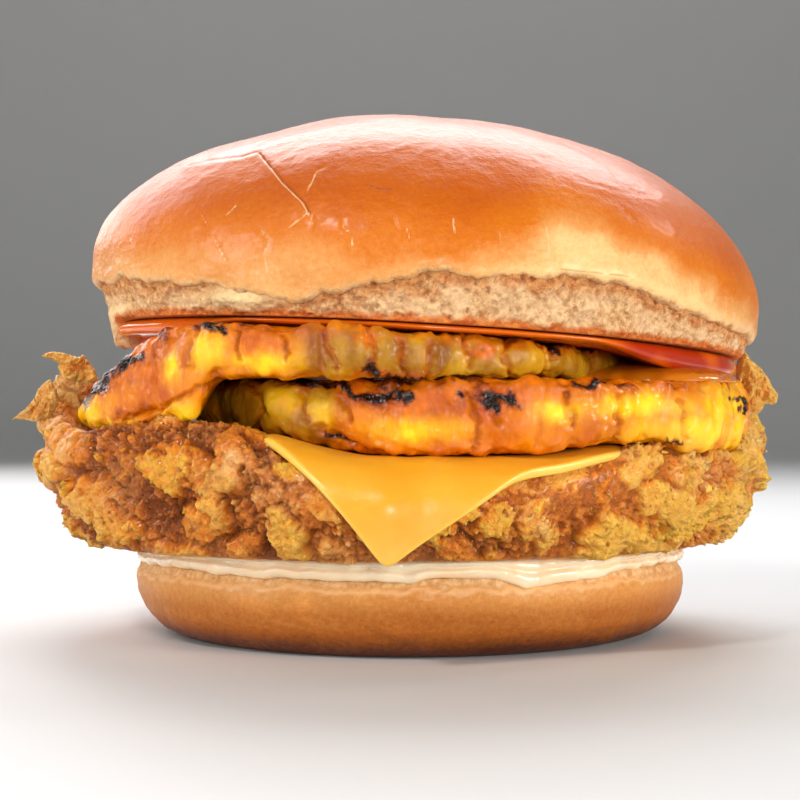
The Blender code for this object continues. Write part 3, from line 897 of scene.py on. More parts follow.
@dataclass
class CrownSkin(Piece):
    """The glossy dome of the bun, down to its torn lip."""

    shape: CrownShape = CrownShape()
    columns: int = 580
    packed: float = 0.48
    crease: tuple = ((188, 167), (208, 162), (240, 159), (259, 154), (284, 184), (305, 204), (309, 212))
    cracks: tuple = (
        ((328, 168), (317, 174), (309, 190), (307, 202)),
        ((309, 214), (313, 222), (310, 238)),
        ((256, 225), (264, 233), (269, 243), (264, 253), (267, 274)),
        ((343, 215), (344, 229), (351, 233), (353, 246)),
        ((394, 218), (397, 228)),
        ((407, 229), (411, 243), (411, 256)),
        ((129, 237), (131, 244)),
        ((200, 212), (213, 238), (226, 262)),
        ((236, 205), (226, 215)),
        ((287, 230), (295, 223), (307, 215)),
        ((453, 218), (455, 233)),
        ((500, 232), (503, 250)),
        ((546, 226), (550, 240), (549, 258)),
        ((590, 240), (595, 262)),
        ((622, 208), (634, 222)),
    )
    scab: tuple = (((366, 185), (378, 189), (392, 190)), ((180, 181), (186, 179)))

    def form(self) -> tuple[Array, dict[str, Array]]:
        """Rows over the hidden underside, round the lip, up to the shoulder and over the dome.

        On the dome the radius is a cosine to a power, and the height a sine to a power, of one turn.
        """
        shape = self.shape
        _, angle = np.meshgrid([0], even_angles(self.columns, self.packed), indexing="ij")
        lip = shape.lip(angle)
        under, roll = np.linspace(0, 1, 5, endpoint=False)[:, None], np.linspace(0, np.pi, 9)[:, None]
        low, turn = np.linspace(0, 1, 24)[1:, None], np.linspace(0, np.pi / 2, 128)[1:, None]
        rim = shape.side(lip + 1)
        climb = lip + 1 + (shape.shoulder - lip - 1) * low
        radius = np.concatenate([
            (rim - 1.8) * under,
            rim - 0.9 - 0.9 * np.cos(roll),
            shape.side(climb),
            shape.radius * np.cos(turn) ** 0.92 + 0 * angle,
        ])
        height = np.concatenate([
            lip + 1.6 + (10.5 - lip - 1.6) * (1 - under**2),
            lip + 1 - np.sin(roll),
            climb,
            shape.shoulder + (shape.height - shape.shoulder) * np.sin(turn) ** 1.04 + 0 * angle,
        ])
        row = np.arange(len(radius))[:, None] + 0 * angle
        angle = np.repeat(angle, len(radius), axis=0)
        points = shape.lay(radius, height, angle)
        return self.weather(points, height, angle, smooth(5, 9, row))

    def weather(
        self, points: Array, height: Array, angle: Array, shown: Array
    ) -> tuple[Array, dict[str, Array]]:
        """Adds swells, wrinkles, the crease and the marks.

        Args:
            points: The smooth form.
            height: Height over the cut face.
            angle: Angle round the axis.
            shown: 1 on the skin's outside.

        Returns:
            The final places and the skin's marks.
        """
        shape, seen = self.shape, SIGHT.of(points)
        lip, degrees = shape.lip(angle), np.degrees(angle)
        leather = Noise(24).ridges(points * np.array([1, 1, 1.8]), 4.5, 4) - 0.6
        distance, side = stroke(seen, *self.crease)
        distance = distance + 40 * smooth(0, 8, points[..., 1])
        cracks = beside(seen, *self.cracks) * smooth(8, 0, points[..., 1])
        fold = np.exp(-((distance / 2.2) ** 2)) + 0.5 * np.exp(-((5 * (1 - cracks)) ** 2))
        ledge = smooth(10, 1, distance) * (side < 0)
        rise = 0.5 * Noise(22).fractal(points, 30, 3) + 0.18 * leather - 0.22 * fold + 0.30 * ledge
        rise = rise + 0.28 * Noise(29).fractal(points, 6, 3) * smooth(lip + 4, lip + 1, height)
        rise = rise + 0.3 * hump(1.2, 1.3, height - lip)
        points = points + outward(points) * (rise * shown)[..., None]
        line = np.interp(degrees, shape.bake_angles, shape.bake_heights, period=360)
        past = height - line + 1.6 * Noise(27).fractal(points, 9, 4, 0.6)
        base = np.interp(degrees, (-180, -84, -70, -45, -25, 180), (0.32, 0.30, 0.12, 0.12, 0.24, 0.32))
        bake_and_shade = base + (0.54 - base) * smooth(-2.5, 3.0, past) + 0.22 * smooth(2.0, 9.0, past)
        bake_and_shade = bake_and_shade - 0.10 * smooth(lip + 2.5, lip + 0.5, height)
        crumb = smooth(0.6, 0.1, height - lip + 0.5 * Noise(28).fractal(points, 2.6, 3))
        return points, {
            "bake_and_shade": bake_and_shade,
            "crumb": crumb * shown,
            # These marks place the painted highlight and painted shade along the crease; lit keeps the
            # highlight to its right part.
            "across": 0.5 + side * np.minimum(distance, 10) / 20,
            "near": smooth(7, 4, distance),
            "lit": smooth(246, 262, seen[0]),
            "cracks": cracks,
            "scab": beside(seen, *self.scab),
        }


@dataclass
class CrownCrumb(Piece):
    """The bread under the skin: the torn band and the toasted cut face."""

    shape: CrownShape = CrownShape()
    columns: int = 1400
    packed: float = 0.25
    hanging_bit: tuple = (-44.5, -12.0, 3.2, 4.4)
    creamy: tuple = ((243, 296, 36, 9), (122, 318, 14, 12))
    browned: tuple = ((150, 291, 34, 6), (350, 290, 20, 7), (420, 292, 18, 6), (620, 290, 60, 5))

    def form(self) -> tuple[Array, dict[str, Array]]:
        """Rows over the cut face, up the torn band and back over the hidden top."""
        shape = self.shape
        _, angle = np.meshgrid([0], even_angles(self.columns, self.packed), indexing="ij")
        lip = shape.lip(angle)
        face = np.linspace(0, 1, 20, endpoint=False)[:, None] ** 0.6
        band, back = np.linspace(0, 1, 40)[:, None], np.linspace(0, 1, 6)[1:, None]
        rim = shape.side(lip + 1) - 0.6
        radius = np.concatenate([
            shape.cut * face + 0 * angle,
            shape.cut + (rim - shape.cut) * band**1.5 + 0.3 * np.sin(np.pi * band),
            (rim - 1.2) * (1 - back),
        ])
        height = np.concatenate([0 * face + 0 * angle, (lip + 0.9) * band, lip + 2.3 + (9 - lip) * back])
        row = np.arange(len(radius))[:, None] + 0 * angle
        angle = np.repeat(angle, len(radius), axis=0)
        points = shape.lay(radius, height, angle)
        torn = smooth(19, 24, row) * smooth(60, 56, row)
        near, _, _ = Noise(26).cells(points, 1.7)
        rise = 0.55 * Noise(25).fractal(points, 3.4, 4, 0.6) - 0.45 * smooth(0.40, 0.15, near)
        seen = SIGHT.of(points)
        creamy = spots(seen, *self.creamy)
        rise = rise * (1 - 0.6 * creamy) + 0.9 * creamy
        points = points + outward(points) * (rise * torn)[..., None]
        x, y, width, depth = self.hanging_bit
        bit = depth * np.exp(-((points[..., 0] - x) ** 2 + (points[..., 1] - y) ** 2) / width**2)
        rough = 1 + 0.7 * Noise(30).fractal(points, 2.5, 3)
        points[..., 2] -= bit * rough * smooth(30, 18, row)
        ragged = 0.9 * Noise(28).fractal(points, 3.5, 4)
        scorch = 0.85 * smooth(2.4, 0.6, lip - height + 1.5 * ragged) * smooth(24, 34, row)
        scorch = np.maximum(scorch, 0.8 * spots(seen, *self.browned)) * (1 - creamy)
        toast = smooth(1.4, 0.3, height + 0.6 * ragged) * smooth(1.6, 0.4, bit)
        return points, {"toast": toast, "scorch": scorch, "cream": creamy * smooth(0.8, 1.6, height)}


@dataclass
class Cream(Piece):
    """The cream sauce that is squeezed out over the heel's cut edge."""

    centre: float = 1.6
    radius: float = 45.6
    bottom: float = 12.3
    top: float = 15.6

    def form(self) -> tuple[Array, dict[str, Array]]:
        """A slab whose edge swells out and hangs by waves and noise round the rim."""
        grid = Sheet.slab((6, 66, 6), 720, 0.06, 0.6)
        ring = 45 * grid.out()
        sway = Noise(31).fractal(ring, 14, 4, 0.6)
        outline = self.radius + 0.4 * waves(grid.angle, (0.5, 3, 2.2), (0.5, 7, 0.3)) + 0.8 * sway
        hang = 1.3 * smooth(-0.35, 0.6, Noise(32).fractal(ring, 15, 3))
        hang = smooth(0.93, 1.0, grid.share) * (hang + 1.2 * hump(-68, 6, np.degrees(grid.angle)))
        low = self.bottom - hang
        z = low + (self.top - low) * grid.level
        flat = (outline * grid.share)[..., None] * grid.out()[..., :2]
        points = np.concatenate([flat + np.array([self.centre, 0]), z[..., None]], -1)
        fold = hump(0.55, 0.10, grid.level - 0.12 * sway) * smooth(0.93, 0.99, grid.share)
        points = points - 0.6 * fold[..., None] * grid.out()
        points = points + 0.15 * Noise(33).fractal(points, 4, 2)[..., None] * outward(points)
        thick = smooth(0.1, 0.9, 0.8 * Noise(34).fractal(ring, 11, 2) + grid.level)
        thick = thick * smooth(45, 10, ring[..., 0])
        return points, {"thick": thick}


@dataclass(frozen=True)
class Lump:
    """A flake of batter fused to the fillet, seen in the picture: place, half sizes, tilt, lift and gold."""

    x: float
    y: float
    wide: float
    tall: float
    tilt: float
    lift: float
    gold: float

    def on(self, seen: tuple[Array, Array]) -> Array:
        """How far each place is from the middle, as a share of the way to the outline."""
        across, down = seen[0] - self.x, seen[1] - self.y
        cos, sin = math.cos(math.radians(self.tilt)), math.sin(math.radians(self.tilt))
        return np.hypot((across * cos + down * sin) / self.wide, (down * cos - across * sin) / self.tall)


@dataclass(frozen=True)
class Batter:
    """The relief of fried breading."""

    lump: float = 12.0
    plate: float = 6.5
    chip: float = 2.9
    grit: float = 1.3
    lumps: tuple = (
        Lump(168, 467, 25, 27, 10, 2.0, 1.0),
        Lump(222, 480, 17, 40, 14, 2.2, 0.15),
        Lump(240, 452, 16, 20, -20, 1.6, 0.1),
        Lump(286, 533, 15, 34, -42, 2.6, 0.9),
        Lump(205, 520, 26, 22, 20, 1.8, 0.5),
        Lump(95, 500, 28, 22, 25, 1.8, 0.4),
        Lump(70, 440, 22, 24, 0, 1.6, 0.3),
        Lump(120, 530, 24, 14, 10, 1.6, 0.7),
        Lump(496, 522, 16, 16, -20, 1.8, 0.9),
        Lump(610, 535, 30, 22, -10, 2.2, 0.8),
        Lump(668, 505, 32, 18, 12, 2.0, 0.7),
        Lump(560, 470, 26, 18, 10, 1.6, 0.4),
        Lump(640, 470, 24, 16, 0, 1.8, 0.6),
        Lump(724, 505, 20, 24, 0, 2.0, 0.8),
        Lump(742, 440, 16, 24, 0, 2.0, 0.7),
        Lump(540, 530, 20, 18, 20, 1.6, 0.5),
        Lump(45, 470, 16, 22, 0, 2.2, 0.6),
        Lump(180, 552, 30, 10, 5, 1.8, 0.4),
        Lump(245, 548, 16, 12, 0, 1.6, 0.2),
        Lump(330, 548, 16, 12, 20, 1.6, 0.5),
        Lump(455, 548, 22, 12, 0, 1.6, 0.4),
        Lump(590, 558, 22, 9, 0, 1.8, 0.6),
        Lump(650, 548, 22, 10, -10, 1.6, 0.4),
        Lump(330, 500, 14, 18, 0, 1.4, 0.3),
        Lump(225, 440, 22, 9, 0, 1.6, 0.2),
        Lump(640, 452, 26, 7, 5, 1.4, 0.3),
        Lump(700, 458, 24, 10, 0, 1.6, 0.5),
    )

    def relief(self, points: Array) -> tuple[Array, Array, Array]:
        """Lumps, plates of broken batter in two sizes, the shown lumps, and grit.

        A plate is the part of space nearest to one scattered point. It stands up by a random height and
        falls off steeply where the second nearest point is as near.

        Args:
            points: Places on the smooth fillet.

        Returns:
            The height over the smooth fillet, a random tone for each plate, and the shown lumps' gold.
        """
        warp = np.stack([Noise(41 + k).fractal(points, 4.5, 4, 0.6) for k in range(3)], -1)
        near, second, tone = Noise(44).cells(points + 2.2 * warp, self.plate)
        height = (0.1 + 1.7 * tone**2) * smooth(0.01, 0.16, second - near)
        near, second, other = Noise(45).cells(points + 1.4 * warp + 50, self.chip)
        height = height + (0.1 + 1.2 * other**1.5) * smooth(0.02, 0.22, second - near)
        near, second, small = Noise(47).cells(points + 0.8 * warp + 90, self.grit)
        height = height + 0.75 * small * smooth(0.02, 0.30, second - near)
        height = height + 1.1 * Noise(46).fractal(points, self.lump, 2)
        height = height + 0.9 * (Noise(48).ridges(points + warp, 5.0, 4) - 0.6)
        seen = SIGHT.of(points)
        bent = (seen[0] + 11 * warp[..., 0], seen[1] + 11 * warp[..., 1])
        fine = Noise(49).fractal(points, 2.4, 5, 0.65)
        tone = 0.65 * tone + 0.35 * other
        gold = smooth(0.60, 0.80, tone + 0.2 * Noise(52).fractal(points, 9, 2))
        for lump in self.lumps:
            share = lump.on(bent) + 0.14 * fine
            plateau = smooth(1.04, 0.90, share)
            dome = lump.lift * plateau * (1 - 0.25 * share**2)
            height = np.where(plateau > 0, np.maximum(height, 0.55 * height + dome), height)
            gold = gold + (lump.gold - gold) * plateau
        return height + 0.35 * fine - 1.3, tone, gold


@dataclass
class Fillet(Piece):
    """The breaded fillet: a craggy body."""

    edge: float = 8.0
    rows: tuple = (6, 84, 38)
    columns: int = 760
    packed: float = 0.35
    batter: Batter = Batter()

    def smooth_form(self, grid: Sheet) -> Array:
        """The fillet without crags: an oval slab, narrower below, whose rim curls up in places."""
        narrow = 0.05 + 0.03 * hump(0, 40, np.degrees(grid.angle))
        reach = grid.share * STACK.fillet_outline(grid.angle) * (1 - narrow * smooth(0.85, 0.20, grid.level))
        x, y = reach * np.cos(grid.angle), reach * np.sin(grid.angle)
        thick = STACK.fillet_top(x) + STACK.fillet_crags(x, y) - STACK.fillet_bottom
        curl = smooth(0.88, 0.96, grid.share) * smooth(0.3, 0.85, grid.level)
        thick = thick + STACK.rim_lift(grid.angle) * curl
        return np.stack([x, y, STACK.fillet_bottom + thick * grid.level], -1)

    def form(self) -> tuple[Array, dict[str, Array]]:
        """The smooth form pushed out along its normals by the crags, less so under other layers."""
        grid = Sheet.slab(self.rows, self.columns, self.edge / STACK.fillet_half_depth, front=self.packed)
        points = self.smooth_form(grid)
        height, tone, gold = self.batter.relief(points)
        loose = smooth(0.84, 0.97, grid.share) * (1 - 0.75 * smooth(0.10, 0.0, grid.level))
        loose = np.maximum(loose, 0.55 * (grid.level > 0.9) * smooth(0.1, 0.3, grid.share))
        off = np.abs((np.degrees(grid.angle) + 80 + 180) % 360 - 180)
        under_cheese = (1 - smooth(22, 32, off)) * smooth(0.35, 0.6, grid.level)
        loose = loose * (1 - 0.85 * under_cheese)
        points = points + outward(points) * (height * loose)[..., None]
        seen = SIGHT.of(points)
        # Painted shade: the tone follows the crags' height, so the hollows come out dark, and a painted
        # shadow lies under the drooping fruit at (195, 437).
        tone_and_shading = 0.04 + 0.9 * smooth(-1.6, 2.0, height) - 0.50 * spots(seen, (195, 437, 70, 14))
        # Painted light: the right side is painted lighter, for the light that falls on it there.
        tone_and_shading = tone_and_shading + 0.20 * smooth(450, 600, seen[0])
        blush = 0.85 * smooth(0.05, 0.5, Noise(51).fractal(points, 10, 3) - 0.3 * (tone - 0.5)) * (1 - gold)
        return points, {"tone_and_shading": tone_and_shading, "blush": blush, "gold": gold}


@dataclass(frozen=True)
class Flake:
    """A flake of batter that stands up at a rim.

    It has its outline in the picture in pixels, its depth and half thickness in millimetres, how fast it
    leans away to the right, and its gold and blush.
    """

    outline: tuple
    depth: float
    thick: float
    lean: float
    gold: float
    blush: float

    def reach(self, turn: Array) -> tuple[Array, Array]:
        """The outline round its middle: where rays at these angles cross its edges.

        Args:
            turn: Angles of the rays.

        Returns:
            The middle, and the farthest crossing of each ray, in pixels.
        """
        corners = np.array(self.outline, float)
        middle = corners.mean(0)
        start = corners - middle
        way = np.roll(start, -1, axis=0) - start
        ray = np.stack([np.cos(turn), np.sin(turn)], -1)[:, None]
        cross = ray[..., 0] * way[:, 1] - ray[..., 1] * way[:, 0]
        cross = np.where(cross == 0, 1e-12, cross)
        far = (start[:, 0] * way[:, 1] - start[:, 1] * way[:, 0]) / cross
        along = (start[:, 0] * ray[..., 1] - start[:, 1] * ray[..., 0]) / cross
        hit = (far > 0) & (along >= -1e-6) & (along <= 1 + 1e-6)
        return middle, np.where(hit, far, 0).max(1)

    def form(self, corners: int, rows: int) -> tuple[Array, dict[str, Array]]:
        """A rough cushion on the outline, found by running the camera's sight backwards."""
        turn = np.linspace(0, TURN, corners, endpoint=False)
        middle, reach = self.reach(turn)
        steps = np.linspace(-np.pi / 2, np.pi / 2, rows)[:, None]
        share = np.cos(steps) ** 0.7
        share[[0, -1]] = 0
        across, down = middle[0] + share * reach * np.cos(turn), middle[1] + share * reach * np.sin(turn)
        depth = self.depth + self.thick * np.sin(steps) + self.lean * (across - middle[0]) / 6
        points = SIGHT.back(across, down, depth)
        rough = np.stack([Noise(55 + k).fractal(points, 3.0, 5, 0.65) for k in range(3)], -1)
        points = points + np.array([0.35, 1.0, 0.35]) * rough * (share > 0)[..., None]
        # Painted light: the flakes stand in shade and are painted a light gold, lighter still at their
        # outlines.
        tone_and_shading = 0.80 + 0.30 * share**4 + 0.26 * rough[..., 0]
        return points, {"tone_and_shading": tone_and_shading, "gold": self.gold + 0 * tone_and_shading, "blush": self.blush + 0 * tone_and_shading}


RIM_FLAKES = (
    Flake(
        outline=(
            (42, 355), (60, 352), (77, 357), (83, 355), (96, 371), (97, 382), (82, 384),
            (62, 376), (57, 363),
        ),
        depth=1, thick=1.1, lean=0.2, gold=1.0, blush=0.35,
    ),
    Flake(
        outline=(
            (12, 420), (27, 409), (37, 392), (49, 379), (54, 388), (58, 404), (50, 418),
            (38, 421), (26, 419),
        ),
        depth=-1, thick=1.2, lean=-0.3, gold=1.0, blush=0.5,
    ),
    Flake(
        outline=((56, 376), (78, 372), (100, 378), (104, 392), (90, 408), (68, 408), (54, 396)),
        depth=3, thick=2.6, lean=0.3, gold=0.2, blush=0.8,
    ),
    Flake(
        outline=((40, 398), (56, 386), (76, 392), (84, 416), (74, 436), (50, 442), (36, 428)),
        depth=1, thick=3.2, lean=-0.2, gold=0.5, blush=0.5,
    ),
    Flake(
        outline=((34, 463), (37, 452), (50, 446), (60, 460), (56, 478), (40, 482)),
        depth=-3, thick=2.6, lean=-0.4, gold=0.6, blush=0,
    ),
    Flake(
        outline=(
            (62, 514), (66, 526), (74, 536), (88, 541), (90, 548), (104, 548), (102, 532),
            (84, 514),
        ),
        depth=-18, thick=2.2, lean=-0.6, gold=0.5, blush=0,
    ),
    Flake(
        outline=(
            (744, 350), (754, 364), (762, 368), (768, 381), (777, 394), (775, 402),
            (764, 404), (757, 416), (742, 420), (735, 400), (736, 366),
        ),
        depth=3, thick=3.2, lean=-0.3, gold=0.7, blush=0.2,
    ),
    Flake(
        outline=(
            (742, 414), (756, 419), (762, 428), (767, 439), (766, 449), (757, 456),
            (742, 456), (736, 432),
        ),
        depth=0, thick=3.2, lean=0.3, gold=0.6, blush=0.2,
    ),
    Flake(
        outline=((742, 464), (751, 467), (754, 482), (750, 489), (744, 492), (736, 478)),
        depth=-2, thick=2.4, lean=0.4, gold=0.6, blush=0,
    ),
    Flake(
        outline=((724, 514), (733, 527), (730, 533), (718, 536), (708, 528)),
        depth=-16, thick=2.2, lean=0.6, gold=0.5, blush=0,
    ),
)


@dataclass
class Rim(Piece):
    """The flakes that stand up at the fillet's rims, as one piece."""

    flakes: tuple = RIM_FLAKES

    def build(self) -> bpy.types.Object:
        """Builds every flake and joins them."""
        return self.dress(join(self.name, [close_grid(*flake.form(90, 40)) for flake in self.flakes]))


@dataclass
class Crumbs(Piece):
    """Many small flakes of batter on the fillet as one piece, strewn by chance."""

    count: int = 100
    smallest: float = 0.3
    largest: float = 1.0
    seed: int = 5
    first_row: int = 8
    last_row: int = 84
    lowest: float = 17.0
    cheese_x: float = -2.0
    cheese_half: float = 16.0

    def scattered(self, draw: np.random.Generator) -> tuple[Array, Array, Array, Array]:
        """The middles, facings, half lengths and half widths of flakes strewn over the side by chance."""
        points, _ = Fillet("", "", self.slot, self.finish).form()
        shown = slice(self.first_row, self.last_row)
        side, normal = points[shown], outward(points)[shown]
        rows = draw.integers(0, self.last_row - self.first_row, self.count)
        columns = draw.integers(0, points.shape[1], self.count)
        middle, face = side[rows, columns], normal[rows, columns]
        clear = (np.abs(middle[:, 0] - self.cheese_x) > self.cheese_half) | (middle[:, 1] > 0)
        clear &= middle[:, 2] > self.lowest
        middle, face = middle[clear], face[clear]
        face = face + draw.normal(size=face.shape) * 0.45
        face /= np.linalg.norm(face, axis=1, keepdims=True)
        long = np.cross(face, draw.normal(size=face.shape))
        long /= np.linalg.norm(long, axis=1, keepdims=True)
        size = self.smallest + (self.largest - self.smallest) * draw.random((len(face), 1)) ** 2.5
        wide = np.cross(face, long) * size * draw.uniform(0.5, 1.0, size.shape)
        return middle - 0.1 * size * face, face, long * size, wide

    def build(self) -> bpy.types.Object:
        """Builds every flake as a closed plate with six uneven corners, bent.

        Returns:
            The flakes as one object.
        """
        draw = np.random.default_rng(self.seed)
        middle, face, long, wide = self.scattered(draw)
        count = len(middle)
        rows, lift = np.array([0, 1.0, 0.62, 0]), np.array([-0.7, 0.0, 0.8, 1.0])
        turn = np.linspace(0, TURN, 6, endpoint=False)
        share = rows[None, :, None] * (1 + draw.uniform(-0.35, 0.35, (count, 6)))[:, None, :]
        across, along = share * np.cos(turn), share * np.sin(turn)
        half = np.linalg.norm(long, axis=1)[:, None, None]
        rise = (0.30 * half**0.8 + 0.05) * (lift[None, :, None] + 0.3 * draw.uniform(-1.5, 1.5, share.shape))
        rise[:, 0], rise[:, -1] = rise[:, :1, :1][:, 0], rise[:, -1:, :1][:, 0]
        spread = (
            middle[:, None, None]
            + across[..., None] * long[:, None, None]
            + along[..., None] * wide[:, None, None]
            + rise[..., None] * face[:, None, None]
        )
        tone = {
            "tone_and_shading": 0.45 + 0.25 * (rows[None, :, None] > 0.8) + draw.uniform(-0.15, 0.20, share.shape),
            "blush": 0 * share + 0.7 * (draw.random((count, 1, 1)) < 0.35),
            "gold": 0 * share + (draw.random((count, 1, 1)) < 0.22),
        }
        flats = [close_grid(spread[k], {name: mark[k] for name, mark in tone.items()}) for k in range(count)]
        return self.dress(join(self.name, flats))


@dataclass
class Cheese(Piece):
    """The cheese slice, flat on the fillet with one corner hanging over the front."""

    side: float = 64.0
    thickness: float = 1.5
    clearance: float = 0.6
    turn: float = math.radians(-7)
    corner: tuple = (-2.4, -69.6)
    highlights: tuple = ((390, 508, 20, 24), (432, 484, 17, 20))

    def fall(self, reach: Array, edge: Array) -> tuple[Array, Array, Array]:
        """Where the flat slice goes over the fillet's edge.

        The sheet lies flat up to the rounding, follows a quarter of a superellipse down to the fillet's
        middle height, and then hangs straight down.

        Args:
            reach: Distance from the fillet's middle along the sheet.
            edge: The fillet's radius in that direction.

        Returns:
            The radius, the radius where the rounding starts or the reach, and the drop.
        """
        start = edge - 8.0
        past = np.maximum(0, reach - start)
        across, down = 9.3, (STACK.fillet_level - STACK.fillet_bottom) / 2
        quarter = np.pi / 2 * np.sqrt((across**2 + down**2) / 2)
        turn = np.minimum(1, past / quarter) * np.pi / 2
        radius = np.minimum(reach, start) + across * np.sin(turn) ** 0.75
        hang = np.maximum(0, past - quarter)
        return radius, np.minimum(reach, start), down * (1 - np.cos(turn)) + hang

    def drape(self, x: Array, y: Array) -> Array:
        """Places of points of the flat slice once it lies on the fillet.

        Its left and right sink under the fruit, and it swells out where it passes the right crags.
        """
        around = np.arctan2(y, x)
        radius, start, drop = self.fall(np.hypot(x, y), STACK.fillet_outline(around))
        z = STACK.fillet_top(start * np.cos(around)) + self.clearance - drop
        z = z - 4.4 * smooth(-18, -26, x) - 4.2 * smooth(38, 46, x)
        z = z + 2.3 * hump(20, 8, x) * smooth(0, 5, drop)
        return np.stack([radius * np.cos(around), radius * np.sin(around), z], -1)

    def form(self) -> tuple[Array, dict[str, Array]]:
        """A slab on a rounded square outline, turned, shifted and laid over the fillet."""
        grid = Sheet.slab((90, 14, 90), 480, 0.02, 0.8)
        half, power = self.side / 2, 36
        square = np.abs(np.cos(grid.angle)) ** power + np.abs(np.sin(grid.angle)) ** power
        reach = grid.share * half / square ** (1 / power)
        angle = math.pi / 4 + self.turn
        cos, sin = math.cos(angle), math.sin(angle)
        x = reach * np.cos(grid.angle) + half
        y = reach * np.sin(grid.angle) + half
        flat_x = cos * x - sin * y + self.corner[0]
        flat_y = sin * x + cos * y + self.corner[1]
        points = self.drape(flat_x, flat_y)
        step = 0.01
        along = self.drape(flat_x + step, flat_y) - points
        inward = self.drape(flat_x, flat_y + step) - points
        up = np.cross(along, inward)
        up /= np.linalg.norm(up, axis=-1, keepdims=True)
        seen = SIGHT.of(points)
        swell = 0.5 * spots(seen, *self.highlights) + 0.22 * Noise(61).fractal(points, 14, 2)
        points = points + up * (self.thickness * grid.level + swell)[..., None]
        return points, {"rim": smooth(0.975, 1.0, grid.share)}


@dataclass
class PineappleSlice(Piece):
    """A grilled slice of pineapple, with the marks that the photograph shows in its picture's pixels."""

    centre: tuple = (0.0, 0.0)
    phase: float = 0.0
    seed: int = 60
    radius: float = 44.0
    chars: tuple = ()
    yellows_and_glints: tuple = ()
    caramels: tuple = ()
    grooves: tuple = ()
    olive_from: float = 0.0
    olive_to: float = 0.0
    rows: tuple = (12, 84, 16)
    columns: int = 860
    packed: float = 0.35

    def faces(self, x: Array, y: Array) -> tuple[Array, Array]:
        """Heights of the slice's underside and top at each place."""
        raise NotImplementedError

    def form(self) -> tuple[Array, dict[str, Array]]:
        """A slab with a shallow lobe for each eye, with wedges, fibres and blisters on its side."""
        grid = Sheet.slab(self.rows, self.columns, 0.08, 0.6, front=self.packed)
        lobe = 1.5 * np.abs(np.cos(11 * grid.angle / 2 + self.phase)) - 1.0
        outline = self.radius + lobe + waves(grid.angle, (0.5, 2, self.phase), (0.5, 3, 2 * self.phase))
        x = self.centre[0] + grid.share * outline * np.cos(grid.angle)
        y = self.centre[1] + grid.share * outline * np.sin(grid.angle)
        low, high = self.faces(x, y)
        points = np.stack([x, y, low + (high - low) * grid.level], -1)
        bend = [5 * Noise(self.seed + 7 + k).fractal(points, 3.2, 4, 0.6) for k in range(2)]
        seen = tuple(place + off for place, off in zip(SIGHT.of(points), bend))
        side = smooth(0.88, 0.96, grid.share)
        ring = np.stack([44 * np.cos(grid.angle), 44 * np.sin(grid.angle), points[..., 2]], -1)
        wedge = 0.5 * smooth(0.84, 0.98, Noise(self.seed).ridges(ring * np.array([1, 1, 0.3]), 13, 2))
        wedge = np.maximum(wedge, drawn(seen, self.grooves))
        swell = Noise(self.seed + 1).fractal(ring * np.array([1, 1, 0.6]), 8.5, 2)
        fibre = Noise(self.seed + 5).fractal(ring * np.array([1, 1, 0.25]), 1.6, 2)
        blister = Noise(self.seed + 2).fractal(points, 4.2, 3, 0.5)
        edges = smooth(0.22, 0.02, grid.level) + smooth(0.78, 0.98, grid.level)
        char, marks = self.colours(grid, points, seen, wedge, side)
        crust = char * (0.15 + 0.5 * Noise(self.seed + 6).fractal(points, 1.5, 3))
        rise = -0.8 * wedge + 0.75 * swell + 0.10 * fibre + (0.35 + 0.6 * edges) * blister + crust
        points = points + outward(points) * (rise * side)[..., None]
        return points, marks

    def colours(
        self, grid: Sheet, points: Array, seen: tuple, wedge: Array, side: Array
    ) -> tuple[Array, dict]:
        """Where the slice is burnt, browned, painted dark as shade in its grooves, olive, and yellow with
        painted
        glints: along its edges, and at places listed in the picture's pixels.

        Args:
            grid: The slice's grid.
            points: Its places before the relief.
            seen: Where the photograph's camera sees them.
            wedge: 1 in the grooves between wedges.
            side: 1 on the side of the slice.

        Returns:
            The burnt share, and by name the marks for char, caramel, olive, and yellow flesh with painted
            glints.
        """
        patch = Noise(self.seed + 3).fractal(points, 8, 4, 0.6)
        behind = seen[0] < -100
        top = smooth(0.80, 0.97, grid.level) * side
        char = np.where(behind, 0.9 * smooth(0.0, 0.4, patch) * top, 0.62 * smooth(0.1, 0.5, patch) * top)
        char = np.maximum(char, drawn(seen, self.chars))
        caramel = 0.75 * smooth(0.62, 1.0, grid.level + 0.25 * patch) + 0.5 * smooth(0.10, 0.0, grid.level)
        # Painted shade: the grooves between the wedges are coloured dark caramel.
        caramel = np.maximum(caramel + 0.7 * wedge * side, drawn(seen, self.caramels))
        olive = np.where(behind, smooth(0.0, 0.6, patch), smooth(self.olive_from, self.olive_to, seen[0]))
        # Painted highlight: these spots are partly yellow flesh and partly painted glints of the wet surface.
        yellow_and_glint = spots(seen, *self.yellows_and_glints)
        caramel = caramel * (1 - 0.7 * yellow_and_glint)
        return char * side, {"char": char, "caramel": caramel, "olive": olive, "yellow_and_glint": yellow_and_glint}


